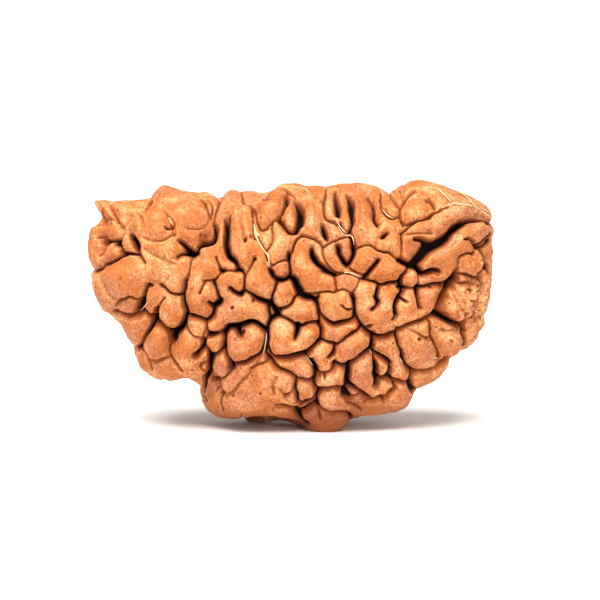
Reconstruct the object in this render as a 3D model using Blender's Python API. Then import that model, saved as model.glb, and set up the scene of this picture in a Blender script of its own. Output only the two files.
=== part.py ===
"""Half-moon rudraksha bead: one knobby nut stone that stands on its rounded belly.

The body is a flattened half moon. Its skin is cut into lobes by clefts. On the front face the
clefts follow hand-read lines, given in millimetres across the face. On the back, the ends and
the belly the lobes are grown by a seeded rule. Units are metres, +Z is up, +X is to the right of
the front face, +Y points away from it, and the origin lies under the middle of the bead.
"""

import math

import bmesh
import bpy
import numpy as np

MM = 0.001

# Driving dimensions of the body, in millimetres.
HALF_DEPTH = 6.7
CENTRE_HEIGHT = 10.2
ROUNDNESS = 2.45
EDGE_DETAIL_REACH = 0.42
SOFT_OUTLINE_DEGREES = 16.0
FINE_OUTLINE_DEGREES = 1.5

# The face is read from slightly above: face height = z * cos + y * sin of this angle.
FACE_TILT_DEGREES = 8.0

# Depth of the deepest clefts and of the groove along the crest, in millimetres.
CLEFT_DEPTH = 1.45
CREST_GROOVE_DEPTH = 0.9
CREST_GROOVE_Y = 1.6
CREST_GROOVE_WIDTH = 0.9

# The lobes that the seeded rule grows.
GROWN_LOBES = 175
GROWN_SEED = 41
LOBE_HALF_LENGTH = (0.2, 1.5)
LOBE_FATNESS = 0.35

# The bead stands on a small flat at z = 0, where the lobes are worn level.
REST_CENTRE = (0.3, 0.6)
REST_REACH = (2.7, 1.9)

# Triangles of the finished solid.
TRIANGLE_TARGET = 11400
SPHERE_SUBDIVISIONS = 7

# Outer outline of the lobes, clockwise from the left tip: x and height in millimetres.
OUTLINE = (
    (-16.35, 15.0), (-15.85, 16.1), (-15.2, 16.9), (-15.7, 17.95), (-13.7, 18.3), (-12.1, 18.35),
    (-10.9, 19.0), (-9.85, 19.35), (-8.4, 18.9), (-6.9, 18.75), (-5.7, 18.9), (-4.3, 19.2),
    (-2.4, 19.2), (-0.9, 19.55), (0.7, 19.6), (2.4, 19.6), (4.3, 19.5), (5.6, 19.6),
    (6.8, 19.5), (8.1, 19.3), (9.1, 19.7), (10.2, 19.8), (11.9, 19.45), (13.9, 18.65),
    (15.5, 17.7), (16.25, 16.9), (16.35, 15.0), (16.05, 11.2), (15.75, 8.7), (14.95, 7.0),
    (13.9, 6.4), (13.1, 5.75), (12.8, 4.9), (11.8, 3.8), (10.6, 3.35), (9.8, 2.7), (9.3, 1.75),
    (7.9, 1.15), (6.1, 1.05), (4.7, 0.35), (2.7, -0.2), (0.6, 0.1), (-1.7, 0.35), (-5.1, 0.5),
    (-6.5, 1.05), (-7.3, 2.3), (-7.6, 3.4), (-8.4, 3.95), (-9.6, 3.65), (-10.9, 3.95),
    (-12.1, 4.8), (-12.55, 5.8), (-13.0, 7.0), (-13.6, 8.35), (-14.9, 9.2), (-15.65, 10.5),
    (-15.95, 11.75), (-16.2, 13.4),
)

# Swellings and hollows of the face: x, face height, reach across, reach up, lift in millimetres.
SWELLINGS = (
    (8.0, 9.6, 3.0, 1.9, 0.65), (12.0, 13.8, 1.8, 1.3, 0.35), (13.6, 17.3, 2.2, 0.8, 0.55),
    (-4.4, 9.6, 1.9, 1.4, 0.35), (-7.3, 10.7, 1.0, 1.5, 0.4), (-13.6, 11.9, 1.9, 1.4, 0.45),
    (-10.6, 16.3, 2.1, 1.9, 0.5), (-7.6, 16.9, 0.9, 1.0, 0.2), (0.0, 7.2, 1.9, 1.3, 0.4),
    (-3.8, 6.9, 1.5, 1.2, 0.35), (4.7, 6.4, 1.5, 0.8, 0.3), (7.4, 12.9, 1.4, 0.9, 0.35),
    (-10.9, 6.7, 0.8, 1.8, 0.3), (-8.2, 6.3, 0.9, 1.6, 0.3), (10.1, 6.5, 1.1, 1.4, 0.35),
    (6.0, 4.3, 1.2, 1.3, 0.4), (-5.5, 5.1, 0.7, 0.9, 0.3), (-1.6, 17.4, 1.3, 1.2, 0.3),
    (2.6, 5.8, 0.8, 1.0, 0.2), (3.1, 3.9, 0.9, 0.6, 0.2), (-0.9, 3.6, 1.5, 1.2, 0.3),
    (-0.6, 10.6, 0.6, 0.7, 0.2), (3.4, 9.7, 1.1, 1.0, 0.25), (1.6, 17.4, 0.6, 1.3, 0.25),
    (5.6, 17.0, 0.6, 1.3, 0.25), (-2.7, 11.9, 1.0, 0.9, 0.25), (-9.5, 9.3, 0.9, 1.1, 0.3),
    (9.6, 14.7, 0.8, 0.8, -0.6), (12.5, 10.3, 0.6, 1.1, -0.7), (-7.0, 15.3, 0.6, 0.5, -0.5),
    (-9.6, 7.0, 0.45, 0.8, -0.5), (4.5, 2.7, 0.7, 0.7, -0.6), (1.3, 1.4, 0.9, 0.4, -0.6),
    (-7.0, 2.6, 0.35, 0.5, -0.5), (-12.1, 9.6, 0.6, 0.6, -0.35), (-2.6, 4.9, 1.0, 0.4, -0.35),
    (14.4, 9.8, 1.0, 1.4, -0.2), (2.0, 11.6, 1.0, 0.6, -0.25), (-5.2, 13.2, 0.5, 0.5, -0.3),
)

# Swellings of the belly that carry the bead: x, y, z, reach, lift in millimetres.
BELLY_SWELLINGS = (
    (-3.4, 2.6, 1.0, 1.9, 1.5),
    (-2.0, 0.8, 0.4, 2.4, 0.35),
    (2.7, 1.9, 0.4, 1.8, 0.7),
    (2.6, -1.9, 0.4, 1.4, 0.45),
)

# Wide black clefts: x, face height and half width in millimetres along each line.
GULFS = (
    ((9.4, 13.2, 0.2), (10.2, 13.6, 0.42), (10.8, 14.4, 0.38), (11.5, 14.9, 0.3),
     (12.3, 15.3, 0.3), (12.8, 15.9, 0.25), (13.4, 16.3, 0.2), (14.2, 16.6, 0.17),
     (15.0, 16.6, 0.12), (16.2, 16.3, 0.05)),
    ((10.1, 15.1, 0.03), (10.5, 14.9, 0.1), (10.8, 14.6, 0.2)),
    ((0.5, 18.1, 0.06), (0.65, 17.6, 0.15), (0.75, 17.0, 0.2), (0.75, 16.5, 0.2),
     (0.65, 16.0, 0.15), (0.4, 15.6, 0.08)),
    ((0.1, 12.0, 0.1), (0.4, 11.6, 0.16), (0.6, 11.1, 0.2), (0.8, 10.7, 0.2), (1.2, 10.5, 0.2),
     (1.6, 10.45, 0.12), (1.9, 10.3, 0.08)),
    ((12.0, 11.0, 0.1), (12.3, 11.4, 0.25), (12.6, 11.8, 0.3), (12.9, 12.2, 0.12)),
    ((-0.2, 1.0, 0.1), (0.4, 1.25, 0.2), (1.0, 1.45, 0.17), (1.7, 1.65, 0.2), (2.1, 1.6, 0.1)),
    ((4.3, 3.4, 0.12), (4.35, 2.9, 0.2), (4.45, 2.6, 0.27), (4.3, 2.3, 0.1)),
    ((-7.2, 3.0, 0.1), (-7.05, 2.7, 0.27), (-7.0, 2.3, 0.2)),
    ((-9.9, 7.9, 0.08), (-9.5, 7.75, 0.25), (-9.35, 7.45, 0.25), (-9.55, 7.0, 0.15)),
    ((-11.4, 9.7, 0.06), (-11.3, 9.2, 0.16), (-10.8, 8.95, 0.14), (-10.6, 8.7, 0.1)),
)

# Deep clefts with a steep wall on both sides: x and face height in millimetres.
DEEP_CLEFTS = (
    ((-15.3, 14.0), (-15.0, 14.35), (-14.8, 14.6), (-14.5, 14.85), (-14.0, 14.9), (-13.7, 14.95)),
    ((-13.7, 15.0), (-13.6, 14.5), (-13.5, 14.0), (-13.4, 13.85)),
    ((-15.9, 12.5), (-15.15, 12.75), (-14.9, 13.05), (-14.4, 13.2), (-13.9, 13.45), (-13.4, 13.85),
     (-13.0, 13.9), (-12.4, 13.8), (-12.0, 13.65)),
    ((-12.9, 15.5), (-12.5, 15.15), (-12.2, 14.8), (-12.0, 14.5), (-12.05, 14.1), (-12.0, 13.65),
     (-11.75, 13.2)),
    ((-8.9, 14.9), (-8.4, 14.4), (-8.0, 13.9), (-7.8, 13.75)),
    ((-7.8, 13.75), (-7.4, 14.15), (-7.1, 14.4), (-6.6, 14.55), (-6.3, 14.6), (-6.05, 14.9),
     (-5.95, 15.4), (-5.97, 15.9), (-6.05, 16.3)),
    ((-4.9, 17.1), (-4.95, 16.3), (-5.0, 15.5), (-5.1, 14.5), (-5.15, 13.9), (-4.9, 13.6),
     (-4.5, 13.2), (-4.3, 12.9), (-4.15, 12.55)),
    ((-0.2, 14.0), (-0.2, 13.5), (-0.15, 13.2), (-0.05, 12.6), (-0.1, 12.1), (-0.4, 11.85),
     (-0.7, 11.8), (-1.0, 11.8), (-1.3, 11.95), (-1.55, 12.2), (-1.7, 12.7)),
    ((3.5, 19.0), (3.55, 18.3), (3.6, 17.7), (3.7, 17.1), (3.75, 16.8)),
    ((4.6, 18.7), (4.8, 18.2), (4.85, 17.5), (4.9, 16.8), (4.9, 16.2), (4.7, 15.7), (4.35, 15.5),
     (4.1, 15.8), (3.9, 16.2)),
    ((6.1, 18.7), (6.5, 17.7), (6.6, 17.0), (6.65, 16.5), (6.8, 16.2)),
    ((-11.0, 11.45), (-11.3, 11.5), (-11.45, 11.2), (-11.5, 10.7), (-11.7, 10.35), (-11.9, 9.8),
     (-12.1, 9.4), (-12.35, 9.2)),
    ((-10.6, 8.75), (-11.0, 8.4), (-11.3, 7.9), (-11.6, 7.2), (-11.75, 6.7), (-11.95, 6.4),
     (-12.5, 6.3)),
    ((-10.4, 11.5), (-10.0, 11.1), (-9.6, 10.75), (-9.1, 10.65), (-8.55, 10.65)),
    ((-8.3, 9.4), (-8.3, 8.9), (-8.55, 8.4), (-8.7, 8.2), (-8.9, 7.9), (-9.1, 7.6), (-9.35, 7.45)),
    ((-6.2, 11.7), (-5.95, 11.1), (-5.75, 10.6), (-5.6, 10.1), (-6.1, 9.75), (-6.6, 10.0)),
    ((-4.15, 12.55), (-3.75, 12.35), (-3.7, 11.8), (-3.7, 11.2), (-3.6, 11.0), (-3.3, 10.8),
     (-2.9, 10.55), (-2.5, 10.4), (-2.1, 10.25), (-1.5, 10.2)),
    ((-5.4, 7.7), (-5.1, 8.0), (-4.8, 8.25), (-4.2, 8.3), (-3.6, 8.5), (-3.0, 8.5), (-2.5, 8.2),
     (-2.05, 7.85)),
    ((-1.9, 10.0), (-1.8, 9.6), (-1.7, 9.0), (-1.8, 8.4), (-1.92, 7.7), (-1.95, 7.0),
     (-1.97, 6.4), (-2.0, 6.0), (-1.8, 5.6), (-1.5, 5.3)),
    ((-1.1, 11.7), (-1.3, 11.1), (-1.45, 10.7), (-1.5, 10.2), (-1.3, 9.7), (-0.9, 9.6),
     (-0.5, 9.6), (-0.1, 9.8), (0.1, 10.0), (0.25, 10.4), (0.5, 10.5), (0.8, 10.6)),
    ((1.4, 10.45), (1.7, 10.2), (2.0, 9.9), (2.12, 9.5), (2.2, 9.1), (2.25, 8.7), (2.2, 8.3)),
    ((-0.8, 9.5), (-0.9, 8.98), (-0.4, 8.7), (0.0, 8.5), (0.4, 8.2), (0.9, 8.2), (1.4, 8.4),
     (1.9, 8.45), (2.2, 8.35)),
    ((4.7, 10.7), (4.9, 10.2), (4.95, 9.7), (4.95, 9.2), (5.0, 8.8)),
    ((5.1, 10.4), (5.1, 9.7), (5.12, 9.2), (5.3, 8.8)),
    ((2.1, 6.95), (2.5, 6.95), (3.0, 6.9), (3.4, 6.75), (3.65, 6.65), (4.0, 6.9), (4.4, 7.2),
     (4.8, 7.5), (5.2, 7.75), (5.6, 8.1)),
    ((5.7, 11.85), (6.2, 11.75), (6.7, 11.65), (7.1, 11.4), (7.5, 11.5), (8.0, 11.6),
     (8.5, 11.75), (8.8, 12.1), (9.1, 12.5), (9.3, 12.8), (9.4, 13.2)),
    ((9.3, 13.0), (9.8, 12.85), (10.1, 12.5), (10.4, 12.25), (10.9, 12.5), (11.3, 12.65),
     (11.75, 12.65)),
    ((9.0, 11.2), (8.7, 10.7), (8.4, 10.3), (8.2, 9.9), (8.25, 9.4), (8.4, 9.0), (8.2, 8.7)),
    ((11.1, 9.2), (11.6, 9.0), (12.2, 8.6), (12.6, 8.4), (13.1, 8.4), (13.6, 8.3), (13.8, 8.1),
     (13.8, 7.7), (13.95, 7.3), (14.0, 6.9), (13.9, 6.5)),
    ((-7.1, 7.0), (-6.8, 6.6), (-6.5, 6.4), (-6.2, 6.2), (-5.9, 6.15), (-5.6, 6.2), (-5.4, 6.4),
     (-5.25, 6.7)),
    ((-6.45, 6.2), (-6.5, 5.9), (-6.45, 5.5), (-6.4, 5.1), (-6.42, 4.7), (-6.6, 4.4),
     (-6.75, 4.1), (-6.87, 3.7)),
    ((-6.35, 4.8), (-6.3, 4.6), (-6.15, 4.25), (-5.9, 4.0), (-5.7, 3.8), (-5.6, 3.5),
     (-5.5, 3.15), (-5.35, 2.9)),
    ((0.9, 6.0), (1.1, 5.8), (1.3, 5.5), (1.5, 5.3), (1.7, 5.05), (1.85, 4.75)),
    ((3.45, 6.6), (3.4, 6.2), (3.2, 5.9), (3.0, 5.65)),
    ((4.5, 5.3), (4.35, 4.9), (4.3, 4.5), (4.45, 4.0), (4.7, 3.8), (5.0, 3.5), (5.3, 3.2),
     (5.55, 2.95)),
    ((6.45, 6.15), (6.5, 5.8), (6.55, 5.3), (6.6, 4.8), (6.66, 4.4)),
    ((8.4, 8.0), (8.4, 7.5), (8.5, 7.0), (8.6, 6.6), (8.8, 6.2), (8.87, 5.7), (9.0, 5.3),
     (9.2, 5.0), (9.5, 4.75), (9.85, 4.5)),
    ((7.75, 4.5), (7.6, 4.25), (7.3, 4.2), (7.0, 4.0), (6.8, 3.8), (6.75, 3.5)),
    ((9.3, 4.1), (9.45, 3.7), (9.6, 3.35), (9.85, 3.1)),
    ((-3.2, 4.7), (-3.5, 4.3), (-3.68, 4.0), (-3.75, 3.6)),
    ((1.7, 1.7), (1.95, 1.9), (2.05, 2.3), (2.1, 2.7), (2.3, 3.1)),
)

# Lips, where the lobe on the left of the line, followed from its first point, laps over its
# neighbour: steep on the left, sloping on the right.
LIPS = (
    ((-8.3, 11.7), (-8.4, 11.1), (-8.5, 10.6), (-8.5, 10.1), (-8.3, 9.5), (-8.1, 9.2),
     (-7.8, 9.1), (-7.3, 8.9), (-6.9, 8.7), (-6.6, 8.75), (-6.35, 9.0), (-6.2, 9.5)),
    ((-5.35, 7.7), (-5.15, 7.2), (-5.25, 6.6), (-5.2, 6.3), (-5.1, 6.0), (-4.9, 5.7),
     (-4.6, 5.45), (-4.2, 5.35), (-3.6, 5.4), (-3.2, 5.6), (-2.8, 5.8), (-2.5, 6.0),
     (-2.3, 6.3), (-2.2, 6.7), (-2.1, 7.0), (-2.0, 7.4), (-2.05, 7.85)),
    ((-1.75, 8.35), (-1.8, 7.6), (-1.8, 6.9), (-1.75, 6.5), (-1.6, 6.1), (-1.4, 5.85),
     (-1.0, 5.75), (-0.5, 5.7), (0.0, 5.75), (0.5, 5.95), (1.0, 6.15), (1.5, 6.4), (1.9, 6.7),
     (2.1, 6.9), (2.3, 7.3), (2.3, 7.9), (2.1, 8.3)),
    ((2.2, 10.5), (2.1, 10.2), (2.25, 9.7), (2.35, 9.3), (2.6, 8.9), (3.0, 8.6), (3.4, 8.4),
     (3.9, 8.5), (4.4, 8.65), (4.9, 8.8)),
    ((5.0, 10.7), (5.1, 9.8), (5.15, 9.2), (5.3, 8.8), (5.6, 8.3), (5.9, 8.0), (6.4, 7.6),
     (6.9, 7.35), (7.5, 7.4), (8.0, 7.65), (8.6, 7.95), (9.1, 8.2), (9.8, 8.5), (10.4, 8.8),
     (11.0, 9.2), (11.4, 9.7), (11.8, 10.4), (12.0, 11.1), (12.2, 11.7)),
    ((10.1, 11.4), (10.6, 11.35), (11.0, 11.5), (11.5, 11.7), (12.0, 11.95), (12.5, 12.2),
     (12.9, 12.4), (13.2, 12.45)),
    ((3.4, 5.25), (3.8, 5.25), (4.3, 5.25), (4.7, 5.35), (5.1, 5.5), (5.5, 5.85), (6.0, 6.3),
     (6.2, 6.6), (6.35, 7.0), (6.4, 7.5)),
    ((-1.9, 5.9), (-1.6, 5.6), (-1.4, 5.3), (-1.2, 5.0), (-0.9, 4.7), (-0.6, 4.65),
     (-0.2, 4.5), (0.1, 4.4), (0.4, 4.2), (0.7, 4.05), (1.2, 3.95), (1.6, 4.0), (1.8, 4.2),
     (1.9, 4.65)),
    ((1.95, 4.7), (2.2, 4.55), (2.6, 4.5), (3.0, 4.55), (3.25, 4.75), (3.37, 5.0), (3.4, 5.3)),
    ((1.75, 4.05), (1.8, 3.8), (2.0, 3.5), (2.3, 3.3), (2.6, 3.25), (3.0, 3.25), (3.4, 3.35),
     (3.7, 3.5), (4.0, 3.65), (4.4, 3.75)),
    ((0.5, 4.0), (0.4, 3.6), (0.35, 3.2), (0.5, 2.9), (0.65, 2.6), (0.9, 2.42), (1.3, 2.5),
     (1.6, 2.57), (1.85, 2.75), (2.1, 2.95), (2.4, 3.2)),
    ((4.5, 3.95), (4.7, 3.78), (5.0, 3.5), (5.3, 3.2), (5.5, 3.0), (5.7, 2.8), (6.0, 2.5),
     (6.3, 2.35), (6.6, 2.3), (7.0, 2.5), (7.6, 2.42), (8.0, 2.9)),
    ((6.45, 6.2), (6.8, 6.05), (7.1, 5.85), (7.5, 5.65), (7.8, 5.4), (8.0, 5.1), (7.85, 4.9),
     (7.75, 4.6), (7.62, 4.2), (7.9, 4.05), (8.2, 3.95), (8.6, 3.9), (9.0, 3.95), (9.4, 4.1),
     (9.8, 4.5)),
    ((9.0, 5.35), (9.2, 5.0), (9.5, 4.75), (9.85, 4.55), (10.5, 4.6), (11.0, 4.67), (11.5, 4.8),
     (11.9, 5.1), (12.4, 5.5)),
    ((2.1, 2.8), (2.12, 2.2), (2.2, 1.9), (2.4, 1.6), (2.7, 1.4), (3.0, 1.25), (3.4, 1.2),
     (3.8, 1.25), (4.2, 1.2)),
    ((-0.5, 1.85), (0.0, 1.8), (0.3, 1.7), (0.6, 1.62), (1.0, 1.65), (1.3, 1.7), (1.7, 1.75)),
    ((-10.6, 8.7), (-10.2, 8.3), (-10.0, 8.0), (-9.6, 7.9), (-9.2, 7.95), (-8.8, 8.15)),
    ((-9.1, 13.7), (-8.7, 13.85), (-8.2, 13.8), (-7.8, 13.75)),
    ((-14.3, 9.3), (-13.9, 9.3), (-13.1, 9.0), (-12.5, 9.0), (-12.2, 9.2)),
    ((9.0, 15.4), (9.3, 15.9), (9.7, 16.35), (10.1, 16.6), (10.6, 16.6), (11.1, 16.7)),
    ((-0.9, 16.5), (-0.4, 15.9), (0.0, 15.6), (0.4, 15.55)),
)

# Folds, where two rounded lobes meet.
FOLDS = (
    ((-16.3, 15.2), (-15.7, 15.2), (-15.2, 15.1), (-14.9, 14.85)),
    ((-15.3, 15.8), (-15.1, 15.6), (-14.8, 15.3), (-14.6, 15.0)),
    ((-7.3, 18.7), (-6.9, 17.9), (-6.65, 17.3), (-6.5, 16.8)),
    ((-5.1, 18.6), (-5.6, 17.9), (-5.9, 17.4), (-6.1, 16.9)),
    ((-3.95, 18.9), (-3.8, 18.0), (-3.5, 17.85), (-3.15, 17.85), (-3.15, 17.3), (-3.05, 16.7),
     (-3.0, 16.2), (-2.9, 15.6), (-2.85, 15.1)),
    ((-2.95, 17.6), (-2.8, 17.0), (-2.75, 16.5), (-2.5, 16.0), (-2.25, 15.8), (-1.9, 15.9)),
    ((-2.7, 15.2), (-2.3, 14.5), (-1.95, 14.15), (-1.7, 14.4), (-1.5, 15.0), (-1.5, 15.6),
     (-1.5, 16.3)),
    ((-1.95, 14.1), (-1.95, 13.7), (-1.75, 13.1), (-1.7, 12.7)),
    ((-0.35, 18.9), (-0.45, 18.0), (-0.6, 17.5), (-0.8, 17.0), (-1.1, 16.7), (-1.5, 16.6),
     (-1.9, 15.9)),
    ((-1.7, 13.1), (-1.4, 13.0), (-1.0, 13.2), (-0.5, 13.4), (-0.2, 13.4)),
    ((-2.0, 18.4), (-1.7, 18.8), (-1.2, 19.1), (-0.6, 19.15), (-0.1, 18.9), (0.3, 18.5)),
    ((2.75, 19.2), (2.7, 18.4), (2.6, 17.8), (2.6, 17.3), (2.75, 16.8), (3.1, 16.5),
     (3.6, 16.2), (4.0, 15.7)),
    ((4.8, 15.6), (4.8, 15.2), (4.9, 14.7), (5.05, 14.2), (4.9, 13.7), (4.7, 13.3),
     (4.5, 12.95)),
    ((3.65, 14.6), (3.75, 14.1), (4.0, 13.6), (4.2, 13.2), (4.45, 12.95)),
    ((7.15, 18.9), (7.15, 18.2), (7.2, 17.6), (7.5, 17.1), (8.0, 16.7), (8.4, 16.75),
     (8.65, 16.8), (8.8, 16.4), (8.95, 16.1)),
    ((7.7, 19.2), (7.9, 18.7), (8.1, 18.3), (8.4, 17.8), (8.65, 17.5), (8.65, 16.9)),
    ((8.5, 19.5), (8.7, 18.8), (9.05, 18.1), (8.75, 17.6)),
    ((8.8, 15.5), (9.1, 15.75), (9.5, 16.1), (10.0, 16.5)),
    ((8.8, 15.5), (8.85, 14.8), (8.85, 14.2), (8.8, 13.9), (8.6, 13.45)),
    ((5.05, 14.2), (5.5, 14.4), (5.9, 14.55), (6.3, 14.55), (6.8, 14.2), (7.2, 14.1),
     (7.8, 14.0), (8.2, 13.6), (8.6, 13.4), (9.0, 13.3), (9.4, 13.15)),
    ((16.0, 15.3), (15.5, 14.6), (15.1, 14.75), (14.7, 14.6), (14.35, 14.5), (14.2, 14.2),
     (13.9, 13.9), (13.5, 13.6), (13.4, 13.4), (13.4, 12.9), (13.2, 12.4)),
    ((15.2, 14.1), (15.5, 14.5), (15.9, 15.2)),
    ((15.05, 14.6), (15.0, 13.8), (15.0, 13.0), (15.0, 12.5), (14.8, 12.1), (14.3, 12.0),
     (13.8, 12.3), (13.2, 12.4)),
    ((-12.75, 10.6), (-12.4, 10.4), (-12.0, 10.3), (-11.7, 10.35)),
    ((-10.1, 10.4), (-10.35, 10.0), (-10.5, 9.5), (-10.45, 9.1), (-10.6, 8.7)),
    ((-6.0, 13.6), (-5.8, 13.1), (-5.6, 12.7), (-5.45, 12.45), (-5.7, 12.2), (-6.0, 11.9),
     (-6.4, 11.75), (-7.0, 11.75)),
    ((-5.45, 12.5), (-5.0, 12.5), (-4.6, 12.5), (-4.15, 12.55)),
    ((-7.0, 8.7), (-6.8, 8.4), (-6.75, 8.0), (-6.5, 7.6), (-6.3, 7.5), (-5.9, 7.6),
     (-5.4, 7.7)),
    ((-6.75, 8.0), (-7.0, 7.5), (-7.05, 7.0)),
    ((-7.05, 7.0), (-7.15, 6.6), (-7.35, 6.0), (-7.6, 5.65)),
    ((0.9, 10.85), (1.6, 10.8), (2.3, 10.8), (2.9, 10.85), (3.5, 10.8), (3.9, 11.0),
     (4.2, 11.05), (4.6, 10.9), (4.9, 10.8)),
    ((3.45, 12.1), (3.55, 11.6), (3.6, 11.1), (3.55, 10.85)),
    ((1.7, 13.4), (1.9, 13.0), (2.2, 12.75), (2.6, 12.4), (3.0, 12.3), (3.4, 12.15),
     (3.65, 12.1), (4.0, 12.3), (4.5, 12.35), (4.9, 12.2), (5.3, 12.0), (5.7, 11.85)),
    ((2.5, 13.9), (2.65, 13.4), (2.85, 13.1), (3.1, 12.8), (3.5, 12.5), (3.9, 12.35)),
    ((4.7, 12.7), (5.0, 12.5), (5.4, 12.35), (5.8, 12.2)),
    ((7.05, 13.4), (6.7, 13.0), (6.3, 12.6), (5.9, 12.2), (5.7, 11.9)),
    ((5.5, 11.8), (5.3, 11.3), (5.0, 10.9), (4.95, 10.5)),
    ((9.3, 12.4), (8.9, 12.0), (8.7, 11.6), (8.8, 11.25), (9.1, 11.2), (9.6, 11.25),
     (10.0, 11.35), (10.05, 11.8), (10.2, 12.3)),
    ((10.0, 11.2), (10.0, 10.6), (10.05, 10.1), (10.3, 9.6)),
    ((10.8, 8.9), (11.0, 8.4), (11.1, 7.8), (11.2, 7.3), (11.4, 6.9), (11.5, 6.5), (11.7, 6.0),
     (11.75, 5.6)),
    ((-9.5, 7.2), (-9.7, 6.7), (-9.8, 6.2), (-9.65, 5.8), (-9.45, 5.55), (-9.3, 5.35),
     (-9.2, 5.1), (-9.05, 4.8), (-8.8, 4.4)),
    ((-6.7, 5.4), (-6.95, 5.3), (-7.2, 5.05), (-7.35, 4.75)),
    ((-7.3, 4.75), (-6.9, 4.75), (-6.5, 4.7)),
    ((-0.5, 2.65), (-0.2, 2.8), (0.0, 2.95), (0.2, 3.15), (0.35, 3.3)),
    ((4.1, 3.4), (4.05, 3.0), (4.1, 2.6), (4.25, 2.25), (4.5, 2.0), (4.9, 1.85), (5.3, 1.6),
     (5.6, 1.3)),
    ((-1.6, 5.4), (-2.0, 5.25), (-2.4, 5.1), (-2.8, 4.9), (-3.2, 4.7)),
    ((8.4, 3.8), (8.3, 3.5), (8.2, 3.2), (8.0, 3.0), (8.1, 2.75), (8.3, 2.6)),
    ((13.7, 8.3), (14.0, 8.6), (14.4, 8.9), (15.0, 9.1)),
    ((-5.35, 2.9), (-5.55, 2.5), (-5.65, 2.1), (-5.65, 1.6), (-5.6, 1.2)),
    ((10.1, 19.3), (10.3, 18.9), (10.9, 18.4), (11.1, 17.9), (11.2, 17.55)),
    ((-11.2, 18.3), (-11.6, 17.6), (-11.9, 17.4)),
    ((2.1, 1.5), (2.25, 1.0), (2.3, 0.5)),
    ((-10.6, 18.9), (-10.2, 17.6), (-9.9, 17.1), (-9.6, 16.6), (-9.5, 16.3)),
)

# How each kind of line is cut: half width, depth as a share of the deepest, rim reach on the
# left and on the right of the line, all but the share in millimetres.
GULF_CUT = (0.0, 1.15, 0.75, 0.75)
DEEP_CUT = (0.11, 1.0, 0.8, 0.8)
LIP_CUT = (0.1, 0.9, 0.6, 1.6)
FOLD_CUT = (0.08, 0.62, 0.8, 0.8)
RIM_POWER = 3.0


def unit(vectors):
    """Rows of vectors brought to length 1."""
    return vectors / np.linalg.norm(vectors, axis=1, keepdims=True)


def smooth_step(low, high, values):
    """0 below low, 1 above high, and a smooth S between them."""
    t = np.clip((values - low) / (high - low), 0.0, 1.0)
    return t * t * (3.0 - 2.0 * t)


def curved_line(points, pieces=4, closed=False):
    """Catmull-Rom curve through the rows of points, with so many pieces to each span."""
    knots = np.array(points, dtype=float)
    if closed:
        padded = np.vstack([knots[-1:], knots, knots[:2]])
    else:
        first = 2.0 * knots[0] - knots[1]
        last = 2.0 * knots[-1] - knots[-2]
        padded = np.vstack([first, knots, last])
    before, start, end, after = padded[:-3], padded[1:-2], padded[2:-1], padded[3:]
    t = np.linspace(0.0, 1.0, pieces, endpoint=False)[None, :, None]
    curve = 0.5 * (
        2.0 * start[:, None]
        + (end - before)[:, None] * t
        + (2.0 * before - 5.0 * start + 4.0 * end - after)[:, None] * t**2
        + (3.0 * start - before - 3.0 * end + after)[:, None] * t**3
    )
    curve = curve.reshape(-1, knots.shape[1])
    return curve if closed else np.vstack([curve, knots[-1:]])


def outline_radius(angles, softness=0.0):
    """Distance from the centre to the outline at each angle, averaged over +-softness degrees."""
    outline = curved_line(OUTLINE, pieces=8, closed=True)
    tilt = math.cos(math.radians(FACE_TILT_DEGREES))
    across = outline[:, 0]
    up = outline[:, 1] / tilt - CENTRE_HEIGHT
    outline_angles = np.arctan2(up, across)
    order = np.argsort(outline_angles)
    radii = np.hypot(across, up)[order]
    samples = np.linspace(-math.pi, math.pi, 720, endpoint=False)
    ring = np.interp(samples, outline_angles[order], radii, period=2.0 * math.pi)
    reach = int(softness * 2.0)
    if reach:
        window = np.hanning(2 * reach + 3)[1:-1]
        window /= window.sum()
        padded = np.concatenate([ring[-reach:], ring, ring[:reach]])
        ring = np.convolve(padded, window, mode="valid")
    return np.interp(angles, samples, ring, period=2.0 * math.pi)


def body_points(directions, detailed=True):
    """The smooth body in each direction from its centre, in millimetres.

    The radius joins the outline's radius r in the plane of the face and the half depth d by
    (across / r)^p + (deep / d)^p = 1. The outline's own bumps fade out towards the two faces.
    """
    across = np.hypot(directions[:, 0], directions[:, 2])
    angles = np.arctan2(directions[:, 2], directions[:, 0])
    deep = np.abs(directions[:, 1])
    radius = outline_radius(angles, SOFT_OUTLINE_DEGREES)
    if detailed:
        bumps = outline_radius(angles, FINE_OUTLINE_DEGREES) - radius
        latitude = np.arctan2(deep / HALF_DEPTH, across / radius)
        radius = radius + bumps * np.exp(-((latitude / EDGE_DETAIL_REACH) ** 2))
    reach = ((across / radius) ** ROUNDNESS + (deep / HALF_DEPTH) ** ROUNDNESS) ** (-1.0 / ROUNDNESS)
    return directions * reach[:, None] + np.array([0.0, 0.0, CENTRE_HEIGHT])


def body_normals(directions):
    """Outward normals of the body without its small bumps, from a step across each direction."""
    step = 0.02
    helper = np.where(np.abs(directions[:, 2:3]) < 0.9, [[0.0, 0.0, 1.0]], [[1.0, 0.0, 0.0]])
    first = unit(np.cross(helper, directions)) * step
    second = unit(np.cross(directions, first)) * step
    along = body_points(unit(directions + first), False) - body_points(unit(directions - first), False)
    over = body_points(unit(directions + second), False) - body_points(unit(directions - second), False)
    return unit(np.cross(along, over))


def face_coordinates(points):
    """Places across the face as it is seen from slightly above the front."""
    tilt = math.radians(FACE_TILT_DEGREES)
    return points[:, 0], points[:, 2] * math.cos(tilt) + points[:, 1] * math.sin(tilt)


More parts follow.
